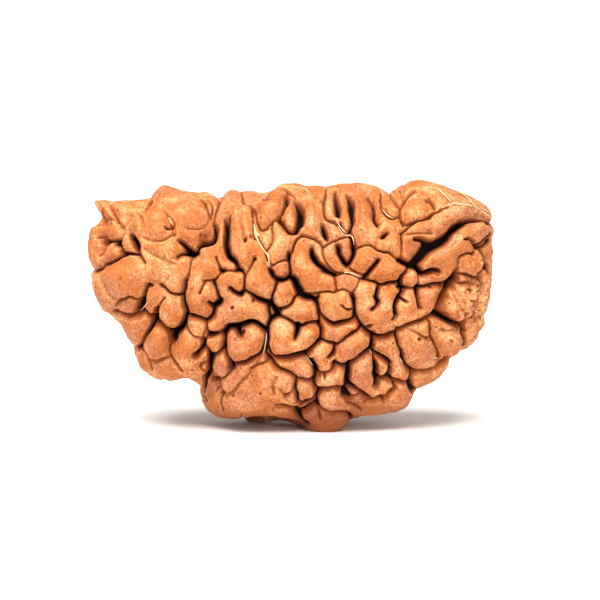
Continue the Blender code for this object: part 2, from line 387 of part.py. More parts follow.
def line_distance(u, v, line):
    """Distance to a polyline, its side (+1 on the left) and the share of its length there."""
    nearest = np.full(u.shape, 1e9)
    side = np.ones(u.shape)
    share = np.zeros(u.shape)
    spans = len(line) - 1
    for index in range(spans):
        ax, ay = line[index, 0], line[index, 1]
        bx, by = line[index + 1, 0] - ax, line[index + 1, 1] - ay
        length = bx * bx + by * by
        t = np.clip(((u - ax) * bx + (v - ay) * by) / length, 0.0, 1.0)
        gap = np.hypot(u - ax - t * bx, v - ay - t * by)
        closer = gap < nearest
        turn = bx * (v - ay) - by * (u - ax)
        nearest = np.where(closer, gap, nearest)
        side = np.where(closer, np.sign(turn), side)
        share = np.where(closer, (index + t) / spans, share)
    return nearest, side, share


def rim(gap, reach):
    """Depth left at a gap from a cleft's foot: (1 - gap / reach) to a power, 0 past the reach."""
    return (1.0 - np.clip(gap / reach, 0.0, 1.0)) ** RIM_POWER


def cut_lines(depth, u, v, lines, cut):
    """Adds the fourth power of each line's depth to depth, so that crossing clefts blend."""
    half_width, strength, left_reach, right_reach = cut
    margin = max(left_reach, right_reach) + 0.6
    for row in lines:
        line = curved_line(row)
        low, high = line.min(axis=0) - margin, line.max(axis=0) + margin
        near = np.flatnonzero((u > low[0]) & (u < high[0]) & (v > low[1]) & (v < high[1]))
        if near.size == 0:
            continue
        gap, side, share = line_distance(u[near], v[near], line)
        width = np.full(gap.shape, half_width)
        if line.shape[1] > 2:
            width = np.interp(share, np.linspace(0.0, 1.0, len(line)), line[:, 2])
        reach = np.where(side > 0.0, left_reach, right_reach)
        amount = strength * rim(np.maximum(gap - width, 0.0), reach)
        depth[near] += amount**4


def face_depth(points):
    """Depth share of the hand-read clefts at each point, from 0 on a lobe to about 1."""
    u, v = face_coordinates(points)
    depth = np.zeros(len(points))
    cut_lines(depth, u, v, GULFS, GULF_CUT)
    cut_lines(depth, u, v, DEEP_CLEFTS, DEEP_CUT)
    cut_lines(depth, u, v, LIPS, LIP_CUT)
    cut_lines(depth, u, v, FOLDS, FOLD_CUT)
    return np.minimum(depth**0.25, 1.15)


def grown_lobes():
    """Centres, end offsets and fatness of the lobes that the seeded rule spreads over the body.

    The centres lie on a golden spiral over the body, moved a little at random. Each lobe is a
    short stroke along the skin, upright near the crest and at any angle lower down.
    """
    chance = np.random.default_rng(GROWN_SEED)
    index = np.arange(GROWN_LOBES) + 0.5
    height = 1.0 - 2.0 * index / GROWN_LOBES
    turn = math.pi * (1.0 + math.sqrt(5.0)) * index
    ring = np.sqrt(1.0 - height**2)
    sphere = np.stack([ring * np.cos(turn), ring * np.sin(turn), height], axis=1)
    sphere = unit(sphere + chance.normal(0.0, 0.07, sphere.shape))
    directions = unit(sphere * np.array([16.0, HALF_DEPTH, 9.8]))
    centres = body_points(directions)
    normals = body_normals(directions)
    upright = unit(np.array([0.0, 0.0, 1.0]) - normals * normals[:, 2:3] + 1e-6)
    sideways = np.cross(normals, upright)
    freedom = np.where(centres[:, 2] > 14.0, 0.35, 1.5)
    angle = chance.uniform(-1.0, 1.0, GROWN_LOBES) * freedom
    along = upright * np.cos(angle)[:, None] + sideways * np.sin(angle)[:, None]
    half_length = chance.uniform(*LOBE_HALF_LENGTH, GROWN_LOBES)
    fatness = chance.uniform(0.0, LOBE_FATNESS, GROWN_LOBES)
    return centres, along * half_length[:, None], fatness


def grown_depth(points):
    """Depth share of the clefts between the seeded lobes.

    Each point looks for its nearest and second nearest stroke. Half the difference of the two
    distances is its gap from the border between them, which is cut as a deep cleft or a fold.
    """
    centres, offsets, fatness = grown_lobes()
    wobble = 0.3 * np.sin(points[:, [1, 2, 0]] * 1.7 + 0.6) + 0.2 * np.sin(points[:, [2, 0, 1]] * 2.9)
    moved = points + wobble
    square = np.maximum((offsets**2).sum(axis=1), 1e-9)
    depth = np.zeros(len(points))
    for start in range(0, len(points), 8000):
        part = moved[start:start + 8000, None, :] - centres[None]
        t = np.clip((part * offsets).sum(axis=2) / square, -1.0, 1.0)
        gaps = np.linalg.norm(part - t[..., None] * offsets, axis=2) - fatness
        order = np.argpartition(gaps, 2, axis=1)[:, :3]
        three = np.sort(np.take_along_axis(gaps, order, axis=1), axis=1)
        border = 0.5 * (three[:, 1] - three[:, 0])
        corner = 0.5 * (three[:, 2] - three[:, 0])
        own = np.argmin(gaps, axis=1)
        steep = 0.6 + 0.4 * ((own * 7) % 10) / 9.0
        pit = 0.35 * np.exp(-((corner / 0.45) ** 2))
        depth[start:start + 8000] = steep * rim(np.maximum(border - 0.05, 0.0), 0.8) + pit
    return np.minimum(depth, 1.15)


def swelling(points):
    """Lift of the broad swellings and hollows of the face and the belly, in millimetres."""
    u, v = face_coordinates(points)
    lift = np.zeros(len(points))
    front = smooth_step(0.5, -1.5, points[:, 1])
    for x, height, across, up, amount in SWELLINGS:
        lift += amount * front * np.exp(-(((u - x) / across) ** 2) - ((v - height) / up) ** 2)
    for x, y, z, reach, amount in BELLY_SWELLINGS:
        square = (points[:, 0] - x) ** 2 + (points[:, 1] - y) ** 2 + (points[:, 2] - z) ** 2
        lift += amount * np.exp(-square / reach**2)
    return lift


def crest_groove(points):
    """Depth in millimetres of the single shallow groove that runs along the crest."""
    wander = CREST_GROOVE_Y + 0.35 * np.sin(points[:, 0] * 0.6) + 0.2 * np.sin(points[:, 0] * 1.7)
    gap = np.abs(points[:, 1] - wander)
    top = smooth_step(13.0, 15.5, points[:, 2])
    return CREST_GROOVE_DEPTH * top * np.exp(-((gap / CREST_GROOVE_WIDTH) ** 2))


def bead_points(directions):
    """The finished skin in each direction: the body, its swellings and its clefts."""
    body = body_points(directions)
    normals = body_normals(directions)
    tilt = math.radians(FACE_TILT_DEGREES)
    seen = normals @ np.array([0.0, -math.cos(tilt), math.sin(tilt)])
    front = smooth_step(0.0, 0.22, seen)
    depth = face_depth(body) * front
    hidden = np.flatnonzero(front < 1.0)
    depth[hidden] += grown_depth(body[hidden]) * (1.0 - front[hidden])
    rest_x = (body[:, 0] - REST_CENTRE[0]) / REST_REACH[0]
    rest_y = (body[:, 1] - REST_CENTRE[1]) / REST_REACH[1]
    worn = np.exp(-((rest_x**2 + rest_y**2) ** 2)) * smooth_step(3.0, 1.5, body[:, 2])
    depth *= 1.0 - worn
    height = swelling(body) - CLEFT_DEPTH * depth - crest_groove(body)
    return body + normals * height[:, None]


def base_sphere(name):
    """A fine sphere primitive, whose points give the directions from the body's centre."""
    mesh = bpy.data.meshes.new(name)
    ball = bmesh.new()
    bmesh.ops.create_icosphere(ball, subdivisions=SPHERE_SUBDIVISIONS, radius=1.0)
    ball.to_mesh(mesh)
    ball.free()
    return mesh


def shape_bead(mesh):
    """Moves the sphere's points out to the bead's skin."""
    count = len(mesh.vertices)
    flat = np.empty(count * 3, dtype=np.float32)
    mesh.vertices.foreach_get("co", flat)
    sphere = flat.reshape(-1, 3).astype(float)
    directions = unit(sphere * np.array([16.0, HALF_DEPTH, 9.8]))
    points = bead_points(directions) * MM
    mesh.vertices.foreach_set("co", points.astype(np.float32).ravel())
    mesh.update()


def thin_out(bead):
    """Collapses the fine skin to the wanted number of triangles, keeping its forms."""
    modifier = bead.modifiers.new("fewer_triangles", "DECIMATE")
    modifier.decimate_type = "COLLAPSE"
    modifier.ratio = TRIANGLE_TARGET / len(bead.data.polygons)
    modifier.use_collapse_triangulate = True
    evaluated = bead.evaluated_get(bpy.context.evaluated_depsgraph_get())
    mesh = bpy.data.meshes.new_from_object(evaluated)
    fine = bead.data
    bead.modifiers.clear()
    bead.data = mesh
    bpy.data.meshes.remove(fine)


def cut_rest_flat(mesh):
    """Cuts the belly off level at z = 0 and closes it, which leaves the small flat it rests on."""
    skin = bmesh.new()
    skin.from_mesh(mesh)
    geometry = skin.verts[:] + skin.edges[:] + skin.faces[:]
    bmesh.ops.bisect_plane(
        skin, geom=geometry, dist=1e-7, plane_co=(0.0, 0.0, 0.0), plane_no=(0.0, 0.0, -1.0),
        clear_outer=True,
    )
    rim_edges = [edge for edge in skin.edges if edge.is_boundary]
    for edge in rim_edges:
        for vertex in edge.verts:
            vertex.co.z = 0.0
    filled = bmesh.ops.holes_fill(skin, edges=rim_edges, sides=0)["faces"]
    bmesh.ops.triangulate(skin, faces=filled)
    skin.to_mesh(mesh)
    skin.free()
    mesh.shade_smooth()


def centre_over_origin(mesh):
    """Slides the bead so that the middle of its length and of its depth lies over the origin."""
    places = np.empty(len(mesh.vertices) * 3, dtype=np.float32)
    mesh.vertices.foreach_get("co", places)
    places = places.reshape(-1, 3).astype(float)
    middle = 0.5 * (places.min(axis=0) + places.max(axis=0))
    places[:, :2] -= middle[:2]
    mesh.vertices.foreach_set("co", places.astype(np.float32).ravel())
    mesh.update()


def nut_material():
    """Dry, dull orange-brown nut stone."""
    material = bpy.data.materials.new("nut_stone")
    material.use_nodes = True
    shader = material.node_tree.nodes["Principled BSDF"]
    shader.inputs["Base Color"].default_value = (0.55, 0.22, 0.085, 1.0)
    shader.inputs["Roughness"].default_value = 0.6
    shader.inputs["Metallic"].default_value = 0.0
    return material


def build_bead(collection):
    """The whole nut as one closed solid."""
    mesh = base_sphere("bead")
    shape_bead(mesh)
    bead = bpy.data.objects.new("bead", mesh)
    collection.objects.link(bead)
    thin_out(bead)
    cut_rest_flat(bead.data)
    centre_over_origin(bead.data)
    bead.data.materials.clear()
    bead.data.materials.append(nut_material())
    return bead


def main():
    """Clears the scene and builds the bead in its own collection."""
    for old in list(bpy.data.objects):
        bpy.data.objects.remove(old, do_unlink=True)
    collection = bpy.data.collections.new("rudraksha_bead")
    bpy.context.scene.collection.children.link(collection)
    build_bead(collection)


main()
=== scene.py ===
"""Looks of the half-moon rudraksha bead: its lobed skin, its dried fibres, a floor and soft light.

The skin is a function of the direction from the bead's middle. A smooth half moon is swollen by
broad forms and cut into lobes by clefts. On the face the clefts follow listed lines, and on the
back, the ends and the belly they part lobes that a seeded rule grows. Shapes are worked out in
millimetres, and every mesh is written in metres.
"""

import logging
import math
from dataclasses import dataclass, field
from enum import Enum

import bpy
import numpy as np
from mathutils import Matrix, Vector
from mathutils.bvhtree import BVHTree


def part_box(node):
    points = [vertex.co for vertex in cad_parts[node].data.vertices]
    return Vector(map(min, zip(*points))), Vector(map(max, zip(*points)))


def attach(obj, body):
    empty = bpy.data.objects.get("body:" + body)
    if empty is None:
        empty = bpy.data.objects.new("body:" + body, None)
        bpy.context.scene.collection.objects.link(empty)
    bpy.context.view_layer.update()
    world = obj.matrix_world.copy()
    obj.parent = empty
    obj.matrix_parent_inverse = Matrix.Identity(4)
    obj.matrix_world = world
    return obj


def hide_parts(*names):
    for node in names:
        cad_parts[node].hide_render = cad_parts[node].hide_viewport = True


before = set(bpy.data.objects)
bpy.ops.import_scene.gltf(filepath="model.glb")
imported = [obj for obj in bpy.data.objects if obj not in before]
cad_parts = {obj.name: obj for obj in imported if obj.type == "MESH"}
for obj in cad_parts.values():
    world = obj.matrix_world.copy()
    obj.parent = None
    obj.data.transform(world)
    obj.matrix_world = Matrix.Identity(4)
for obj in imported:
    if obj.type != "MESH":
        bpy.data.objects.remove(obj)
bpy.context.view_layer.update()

LOG = logging.getLogger("rudraksha_bead")
MM = 0.001
Array = np.ndarray
Colour = tuple[float, float, float, float]


class CleftKind(Enum):
    """The ways in which a listed line is cut into the face."""

    GULF = "wide black cleft"
    DEEP = "deep cleft with two steep walls"
    LIP = "the lobe on the left of the line laps over its neighbour"
    FOLD = "two rounded lobes meet"
    VALLEY = "broad soft hollow without a black foot"
    CREASE = "mark that only crosses a lobe"
    NICK = "short cut that tapers at both ends"


@dataclass(frozen=True)
class Cut:
    """Cross-section of one kind of cleft, in millimetres but for depth, a share of the deepest."""

    half_width: float
    depth: float
    left_reach: float
    right_reach: float
    doming: float = 0.0
    tapered: bool = False
    # Share of the narrow foot that is painted dark, as painted shade in the cleft.
    painted_shade: float = 1.0


CUTS = {
    CleftKind.GULF: Cut(0.0, 1.45, 0.5, 0.5, 0.3),
    CleftKind.DEEP: Cut(0.03, 1.06, 0.36, 0.36, 0.55),
    CleftKind.LIP: Cut(0.03, 1.0, 0.3, 0.9, 0.55),
    CleftKind.FOLD: Cut(0.02, 0.72, 0.34, 0.34, 0.6),
    CleftKind.VALLEY: Cut(0.0, 0.55, 0.7, 0.7, 0.5, False, 0.55),
    CleftKind.CREASE: Cut(0.0, 0.32, 0.3, 0.3),
    CleftKind.NICK: Cut(0.07, 0.8, 0.3, 0.3, 0.0, True),
}

# Outer outline of the lobes, clockwise from the left tip: x and height in millimetres.
OUTLINE = (
    (-16.35, 15.0), (-16.1, 16.1), (-15.3, 17.0), (-16.0, 18.25), (-14.6, 18.3), (-12.9, 18.2),
    (-11.5, 18.45), (-10.9, 19.0), (-10.0, 19.35), (-8.9, 18.9), (-7.4, 18.85), (-6.6, 18.95),
    (-5.8, 18.35), (-5.3, 18.85), (-4.6, 19.1), (-3.6, 19.1), (-2.5, 18.8), (-1.7, 19.15),
    (-0.9, 19.6), (0.1, 19.6), (1.3, 19.25), (2.4, 19.5), (4.3, 19.5), (5.6, 19.6),
    (6.8, 19.5), (8.0, 19.0), (9.1, 19.6), (10.2, 19.8), (11.9, 19.45), (13.9, 18.65),
    (15.5, 17.7), (16.25, 16.9), (16.35, 15.0), (16.0, 11.2), (15.55, 8.7), (14.95, 7.0),
    (13.9, 6.4), (12.95, 5.9), (12.7, 4.9), (11.8, 3.8), (10.6, 3.35), (10.0, 2.7), (9.3, 1.75),
    (7.9, 1.15), (6.1, 1.05), (4.7, 0.35), (2.7, -0.2), (0.6, 0.1), (-1.7, 0.35), (-5.1, 0.5),
    (-6.5, 1.05), (-7.3, 2.3), (-7.5, 3.7), (-8.2, 4.5), (-9.5, 3.8), (-10.9, 3.95),
    (-12.1, 4.8), (-12.55, 5.8), (-13.0, 7.0), (-13.6, 8.35), (-14.9, 9.2), (-15.65, 10.5),
    (-15.95, 11.75), (-16.2, 13.4),
)

# Swellings and hollows of the face: x, face height, reach across, reach up, lift in millimetres.
SWELLINGS = (
    (8.0, 9.6, 3.0, 1.9, 0.65), (12.0, 13.8, 1.8, 1.3, 0.35), (13.6, 17.3, 2.2, 0.8, 0.55),
    (-4.4, 9.6, 1.9, 1.4, 0.35), (-7.3, 10.7, 1.0, 1.5, 0.4), (-13.6, 11.9, 1.9, 1.4, 0.45),
    (-10.6, 16.3, 2.1, 1.9, 0.5), (-7.6, 16.9, 0.9, 1.0, 0.2), (0.0, 7.2, 1.9, 1.3, 0.4),
    (-3.8, 6.9, 1.5, 1.2, 0.35), (4.7, 6.4, 1.5, 0.8, 0.3), (7.4, 12.9, 1.4, 0.9, 0.35),
    (-10.9, 6.7, 0.8, 1.8, 0.3), (-8.2, 6.3, 0.9, 1.6, 0.3), (10.1, 6.5, 1.1, 1.4, 0.35),
    (6.0, 4.3, 1.2, 1.3, 0.4), (-5.5, 5.1, 0.7, 0.9, 0.3), (-1.6, 17.4, 1.3, 1.2, 0.3),
    (2.6, 5.8, 0.8, 1.0, 0.2), (3.1, 3.9, 0.9, 0.6, 0.2), (-0.9, 3.6, 1.5, 1.2, 0.3),
    (-0.6, 10.6, 0.6, 0.7, 0.2), (3.4, 9.7, 1.1, 1.0, 0.25), (1.6, 17.4, 0.6, 1.3, 0.25),
    (5.6, 17.0, 0.6, 1.3, 0.25), (-2.7, 11.9, 1.0, 0.9, 0.25), (-9.5, 9.3, 0.9, 1.1, 0.3),
    (9.6, 14.7, 0.8, 0.8, -0.6), (12.5, 10.3, 0.6, 1.1, -0.7), (-7.0, 15.3, 0.6, 0.5, -0.5),
    (-9.6, 7.0, 0.45, 0.8, -0.5), (4.5, 2.7, 0.7, 0.7, -0.6), (1.3, 1.4, 0.9, 0.4, -0.6),
    (-7.0, 2.6, 0.35, 0.5, -0.5), (-12.1, 9.6, 0.6, 0.6, -0.35), (-2.6, 4.9, 1.0, 0.4, -0.35),
    (14.4, 9.8, 1.0, 1.4, -0.2), (2.0, 11.6, 1.0, 0.6, -0.25), (-5.2, 13.2, 0.5, 0.5, -0.3),
)

# Swellings of the belly that carry the bead: x, y, z, reach, lift in millimetres.
BELLY_SWELLINGS = (
    (-3.4, 2.6, 1.0, 1.9, 1.25),
    (-2.0, 0.8, 0.4, 2.4, 0.35),
    (2.7, 1.9, 0.4, 1.8, 0.7),
    (2.6, -1.9, 0.4, 1.4, 0.45),
    (-3.2, -1.0, 0.6, 2.2, -0.45),
    (-1.6, -0.7, 0.2, 1.9, -1.1),
    (-0.4, -1.8, 0.9, 0.9, -0.6),
    (2.9, -1.6, 0.5, 1.2, 0.35),
    (5.0, -0.5, 0.3, 1.0, -0.7),
)

# Lines of the face: x and height in millimetres, and half width for a gulf.
LINES = {
    CleftKind.GULF: (
        ((9.4, 13.0, 0.2), (10.2, 13.65, 0.38), (10.75, 14.3, 0.45), (11.5, 14.6, 0.3),
         (12.25, 15.05, 0.28), (12.7, 15.6, 0.22), (13.2, 16.1, 0.18), (13.9, 16.5, 0.16),
         (14.7, 16.6, 0.13), (15.3, 16.45, 0.08), (16.2, 16.35, 0.05)),
        ((9.9, 15.0, 0.03), (10.3, 14.9, 0.12), (10.8, 14.6, 0.2)),
        ((0.5, 18.1, 0.06), (0.65, 17.6, 0.15), (0.75, 17.0, 0.2), (0.75, 16.5, 0.2),
         (0.65, 16.0, 0.15), (0.4, 15.6, 0.08)),
        ((0.1, 12.0, 0.1), (0.4, 11.6, 0.16), (0.6, 11.1, 0.2), (0.8, 10.7, 0.2), (1.2, 10.5, 0.2),
         (1.6, 10.45, 0.12), (1.9, 10.3, 0.08)),
        ((11.85, 10.5, 0.05), (12.05, 10.95, 0.1), (12.35, 11.25, 0.22), (12.7, 11.6, 0.28),
         (13.0, 12.0, 0.25), (13.15, 12.35, 0.1)),
        ((-8.9, 14.95, 0.03), (-8.5, 14.5, 0.08), (-8.1, 14.1, 0.14), (-7.8, 13.88, 0.16),
         (-7.45, 13.95, 0.04)),
        ((-7.3, 14.45, 0.03), (-7.0, 14.62, 0.12), (-6.6, 14.58, 0.07), (-6.2, 14.7, 0.05),
         (-6.0, 15.2, 0.06), (-5.97, 15.7, 0.05), (-6.05, 16.2, 0.02)),
        ((-12.85, 15.4, 0.02), (-12.6, 15.05, 0.06), (-12.45, 14.8, 0.09), (-12.3, 14.4, 0.06),
         (-12.2, 14.2, 0.02)),
        ((-15.25, 14.75, 0.03), (-15.05, 14.95, 0.12), (-14.85, 14.7, 0.12), (-14.75, 14.6, 0.04)),
        ((14.3, 14.55, 0.06), (14.7, 14.5, 0.1), (15.05, 14.35, 0.13), (15.2, 13.9, 0.1),
         (15.25, 13.3, 0.13), (15.1, 12.8, 0.08), (15.0, 12.3, 0.05), (15.1, 11.8, 0.08),
         (15.25, 11.3, 0.12), (15.05, 10.8, 0.09), (14.85, 10.4, 0.03)),
        ((15.3, 13.1, 0.06), (15.6, 12.9, 0.1), (15.85, 12.75, 0.05)),
        ((13.0, 8.55, 0.08), (13.5, 8.45, 0.14), (13.8, 8.25, 0.14), (14.05, 8.55, 0.03)),
        ((13.8, 8.1, 0.08), (13.76, 7.7, 0.08), (14.05, 7.6, 0.03)),
        ((-4.8, 5.3, 0.03), (-4.75, 5.0, 0.1), (-4.9, 4.7, 0.03)),
        ((6.62, 5.3, 0.03), (6.62, 4.5, 0.08), (6.8, 4.0, 0.1), (6.9, 3.6, 0.05), (6.8, 3.3, 0.02)),
        ((4.5, 5.3, 0.05), (4.55, 4.7, 0.1), (4.35, 4.1, 0.12), (4.7, 3.6, 0.09), (5.3, 3.1, 0.07),
         (5.8, 2.75, 0.03)),
        ((1.6, 5.5, 0.03), (1.95, 4.9, 0.08), (1.95, 4.4, 0.06), (1.85, 4.0, 0.02)),
        ((9.4, 3.9, 0.04), (9.55, 3.4, 0.13), (9.8, 2.9, 0.12)),
        ((-6.8, 7.1, 0.03), (-6.95, 6.6, 0.1), (-7.3, 6.1, 0.05), (-7.77, 5.6, 0.08)),
        ((-6.2, 6.1, 0.05), (-6.35, 5.4, 0.1), (-6.45, 4.6, 0.08), (-6.87, 4.0, 0.11),
         (-6.75, 3.5, 0.07), (-6.9, 2.9, 0.12)),
        ((-9.9, 7.6, 0.05), (-9.4, 7.75, 0.16), (-9.1, 7.9, 0.12), (-8.7, 8.2, 0.08)),
        ((-11.42, 11.4, 0.05), (-11.47, 10.9, 0.1), (-11.45, 10.3, 0.1), (-11.65, 9.7, 0.09),
         (-11.95, 9.3, 0.06)),
        ((-0.45, 18.55, 0.03), (-0.33, 18.0, 0.08), (-0.4, 17.5, 0.04), (-0.7, 17.0, 0.05),
         (-1.05, 16.72, 0.1)),
        ((1.6, 14.3, 0.02), (1.66, 13.9, 0.08), (1.85, 13.4, 0.13), (2.15, 13.0, 0.1),
         (2.6, 12.7, 0.08), (3.1, 12.4, 0.06), (3.5, 12.2, 0.03)),
        ((0.4, 1.65, 0.12), (0.55, 1.2, 0.22), (0.8, 0.75, 0.14), (1.3, 0.3, 0.08)),
        ((-1.1, 1.65, 0.03), (-0.4, 1.72, 0.06), (0.3, 1.7, 0.1), (1.2, 1.66, 0.07),
         (1.9, 1.85, 0.05)),
        ((-5.1, 14.6, 0.05), (-4.97, 13.8, 0.13), (-4.6, 13.45, 0.1), (-4.3, 13.0, 0.04)),
        ((4.3, 1.3, 0.03), (4.7, 1.0, 0.07), (4.8, 0.7, 0.03)),
        ((4.15, 3.5, 0.08), (4.25, 3.0, 0.16), (4.35, 2.66, 0.3), (4.6, 2.4, 0.12)),
        ((-7.2, 3.0, 0.1), (-7.05, 2.7, 0.27), (-7.0, 2.3, 0.2)),
        ((-9.9, 7.9, 0.08), (-9.5, 7.75, 0.25), (-9.35, 7.45, 0.25), (-9.55, 7.0, 0.15)),
        ((-11.4, 9.7, 0.06), (-11.3, 9.2, 0.16), (-10.8, 8.95, 0.14), (-10.6, 8.7, 0.1)),
        ((-11.8, 10.4, 0.05), (-11.95, 10.0, 0.14), (-12.15, 9.6, 0.12), (-12.35, 9.3, 0.03)),
        ((-14.9, 14.5, 0.05), (-14.7, 14.7, 0.12), (-14.45, 14.8, 0.04)),
        ((-13.6, 14.1, 0.04), (-13.4, 13.88, 0.12), (-13.2, 13.85, 0.04)),
        ((-8.4, 13.82, 0.03), (-8.0, 13.78, 0.08), (-7.75, 13.8, 0.03)),
        ((-5.2, 16.5, 0.02), (-5.12, 15.8, 0.09), (-5.1, 15.0, 0.11), (-5.15, 14.3, 0.1),
         (-5.0, 13.8, 0.07), (-4.65, 13.4, 0.1), (-4.4, 13.2, 0.05)),
        ((-5.6, 12.6, 0.04), (-5.45, 12.5, 0.1), (-5.3, 12.5, 0.03)),
        ((-4.3, 12.55, 0.04), (-4.15, 12.6, 0.1), (-3.9, 12.5, 0.05)),
        ((-6.5, 9.98, 0.04), (-6.15, 9.82, 0.12), (-5.8, 10.05, 0.15), (-5.6, 10.3, 0.06)),
        ((-4.85, 11.1, 0.03), (-4.5, 10.85, 0.06), (-4.1, 10.68, 0.12), (-3.8, 10.9, 0.05)),
        ((-3.0, 10.55, 0.04), (-2.6, 10.3, 0.08), (-2.1, 10.15, 0.1), (-1.7, 10.0, 0.1),
         (-1.35, 9.65, 0.14), (-1.05, 9.1, 0.12)),
        ((-5.3, 7.6, 0.1), (-4.95, 8.1, 0.12), (-4.6, 8.2, 0.16), (-4.1, 8.25, 0.16),
         (-3.6, 8.4, 0.1), (-3.0, 8.5, 0.08), (-2.5, 8.25, 0.1), (-2.1, 7.85, 0.08)),
        ((-4.25, 8.0, 0.12), (-4.15, 7.6, 0.09), (-4.05, 7.25, 0.03)),
        ((-6.55, 7.55, 0.08), (-6.2, 7.55, 0.06), (-5.9, 7.6, 0.02)),
        ((-1.7, 12.6, 0.04), (-1.62, 12.45, 0.09), (-1.45, 12.1, 0.06), (-1.05, 11.85, 0.1),
         (-0.5, 11.9, 0.08), (-0.1, 12.2, 0.04)),
        ((-0.2, 14.0, 0.03), (-0.2, 13.75, 0.08), (-0.18, 13.5, 0.03)),
        ((0.5, 8.25, 0.12), (0.48, 7.8, 0.08), (0.4, 7.4, 0.05), (0.3, 7.05, 0.01)),
        ((4.5, 18.65, 0.02), (4.72, 18.2, 0.13), (4.78, 17.6, 0.17), (4.82, 17.0, 0.12),
         (4.88, 16.4, 0.06)),
        ((3.5, 18.4, 0.02), (3.6, 17.8, 0.06), (3.72, 17.2, 0.11), (3.75, 16.85, 0.06)),
        ((10.0, 11.3, 0.12), (9.98, 10.9, 0.1), (10.05, 10.4, 0.06), (10.1, 10.0, 0.03),
         (10.22, 9.6, 0.01)),
        ((8.85, 10.85, 0.04), (8.6, 10.6, 0.06), (8.35, 10.1, 0.1), (8.22, 9.75, 0.08),
         (8.28, 9.3, 0.08), (8.36, 9.0, 0.06), (8.2, 8.7, 0.02)),
        ((6.9, 11.1, 0.01), (6.75, 10.4, 0.04), (6.86, 10.1, 0.09), (6.83, 9.8, 0.06),
         (6.5, 9.5, 0.01)),
        ((8.6, 13.4, 0.08), (9.2, 13.1, 0.12), (9.7, 12.95, 0.2), (10.1, 12.6, 0.16),
         (10.35, 12.35, 0.16), (10.7, 12.45, 0.06), (11.2, 12.6, 0.04), (11.7, 12.6, 0.02)),
        ((8.7, 11.9, 0.03), (8.65, 11.5, 0.08), (8.8, 11.2, 0.1), (9.1, 11.15, 0.03)),
        ((11.1, 9.35, 0.08), (11.5, 9.15, 0.17), (12.0, 8.9, 0.18), (12.5, 8.65, 0.14),
         (13.0, 8.55, 0.08)),
        ((11.0, 18.35, 0.05), (11.05, 18.05, 0.16), (11.18, 17.75, 0.16), (11.3, 17.55, 0.05)),
        ((-1.75, 8.4, 0.05), (-1.55, 8.75, 0.12), (-1.2, 9.0, 0.14), (-0.95, 9.0, 0.08)),
        ((7.25, 15.18, 0.03), (7.4, 15.3, 0.09), (7.65, 15.5, 0.02)),
        ((5.9, 12.15, 0.08), (6.3, 12.55, 0.07), (6.7, 13.0, 0.05), (7.0, 13.4, 0.01)),
        ((2.45, 16.2, 0.01), (2.6, 15.7, 0.05), (2.72, 15.3, 0.08), (2.85, 15.0, 0.03)),
        ((3.7, 14.5, 0.01), (3.8, 14.0, 0.05), (4.05, 13.4, 0.07), (4.3, 13.08, 0.05),
         (4.5, 13.0, 0.05), (4.8, 13.4, 0.03), (5.0, 14.0, 0.06), (4.92, 14.6, 0.05),
         (4.8, 15.2, 0.02)),
        ((-10.9, 8.6, 0.06), (-11.05, 8.3, 0.05), (-11.35, 7.75, 0.05), (-11.6, 7.2, 0.06),
         (-11.85, 6.75, 0.09), (-12.0, 6.5, 0.12), (-12.35, 6.35, 0.04)),
        ((-8.38, 9.1, 0.05), (-8.42, 8.6, 0.08), (-8.6, 8.25, 0.12), (-8.9, 7.95, 0.07)),
        ((-10.45, 9.75, 0.02), (-10.5, 9.5, 0.08), (-10.5, 9.25, 0.02)),
        ((-9.5, 5.65, 0.06), (-9.35, 5.45, 0.04), (-9.2, 5.1, 0.02)),
        ((-6.7, 6.6, 0.03), (-6.3, 6.25, 0.07), (-5.8, 6.15, 0.05), (-5.4, 6.3, 0.08),
         (-5.22, 6.7, 0.03)),
        ((-6.45, 6.1, 0.03), (-6.45, 5.4, 0.05), (-6.4, 4.9, 0.09), (-6.5, 4.5, 0.06),
         (-6.75, 4.1, 0.05), (-6.87, 3.85, 0.08), (-6.87, 3.7, 0.02)),
        ((-4.75, 5.55, 0.03), (-4.85, 5.2, 0.05), (-4.78, 4.88, 0.1), (-4.6, 4.85, 0.03)),
        ((-5.6, 3.3, 0.02), (-5.45, 3.0, 0.07), (-5.6, 2.6, 0.02)),
        ((0.0, 5.72, 0.02), (0.5, 5.95, 0.06), (0.95, 6.03, 0.09), (1.3, 6.2, 0.02)),
        ((2.3, 3.2, 0.03), (2.45, 3.1, 0.09), (2.6, 3.15, 0.02)),
        ((4.3, 5.2, 0.03), (4.45, 5.25, 0.08), (4.7, 5.3, 0.03)),
        ((5.6, 5.9, 0.02), (6.1, 6.3, 0.08), (6.35, 6.5, 0.12), (6.45, 6.9, 0.04)),
        ((3.42, 6.2, 0.02), (3.25, 5.95, 0.07), (2.98, 5.68, 0.01)),
        ((7.9, 4.7, 0.01), (7.62, 4.3, 0.1), (7.2, 4.05, 0.05), (6.8, 3.7, 0.07), (6.7, 3.35, 0.01)),
        ((8.75, 6.2, 0.03), (8.85, 5.75, 0.07), (8.9, 5.6, 0.02)),
        ((9.4, 4.0, 0.02), (9.55, 3.6, 0.07), (9.65, 3.3, 0.02)),
        ((11.62, 5.95, 0.02), (11.68, 5.7, 0.07), (11.7, 5.55, 0.02)),
        ((1.9, 1.95, 0.04), (2.0, 1.75, 0.09), (2.2, 1.6, 0.02)),
    ),
    CleftKind.DEEP: (
        ((-15.3, 14.0), (-15.0, 14.35), (-14.8, 14.6), (-14.5, 14.85), (-14.0, 14.9), (-13.7, 14.95)),
        ((-13.7, 15.0), (-13.6, 14.5), (-13.5, 14.0), (-13.4, 13.85)),
        ((-15.9, 12.5), (-15.15, 12.75), (-14.9, 13.05), (-14.4, 13.2), (-13.9, 13.45), (-13.4, 13.85),
         (-13.0, 13.9), (-12.4, 13.8), (-12.0, 13.65)),
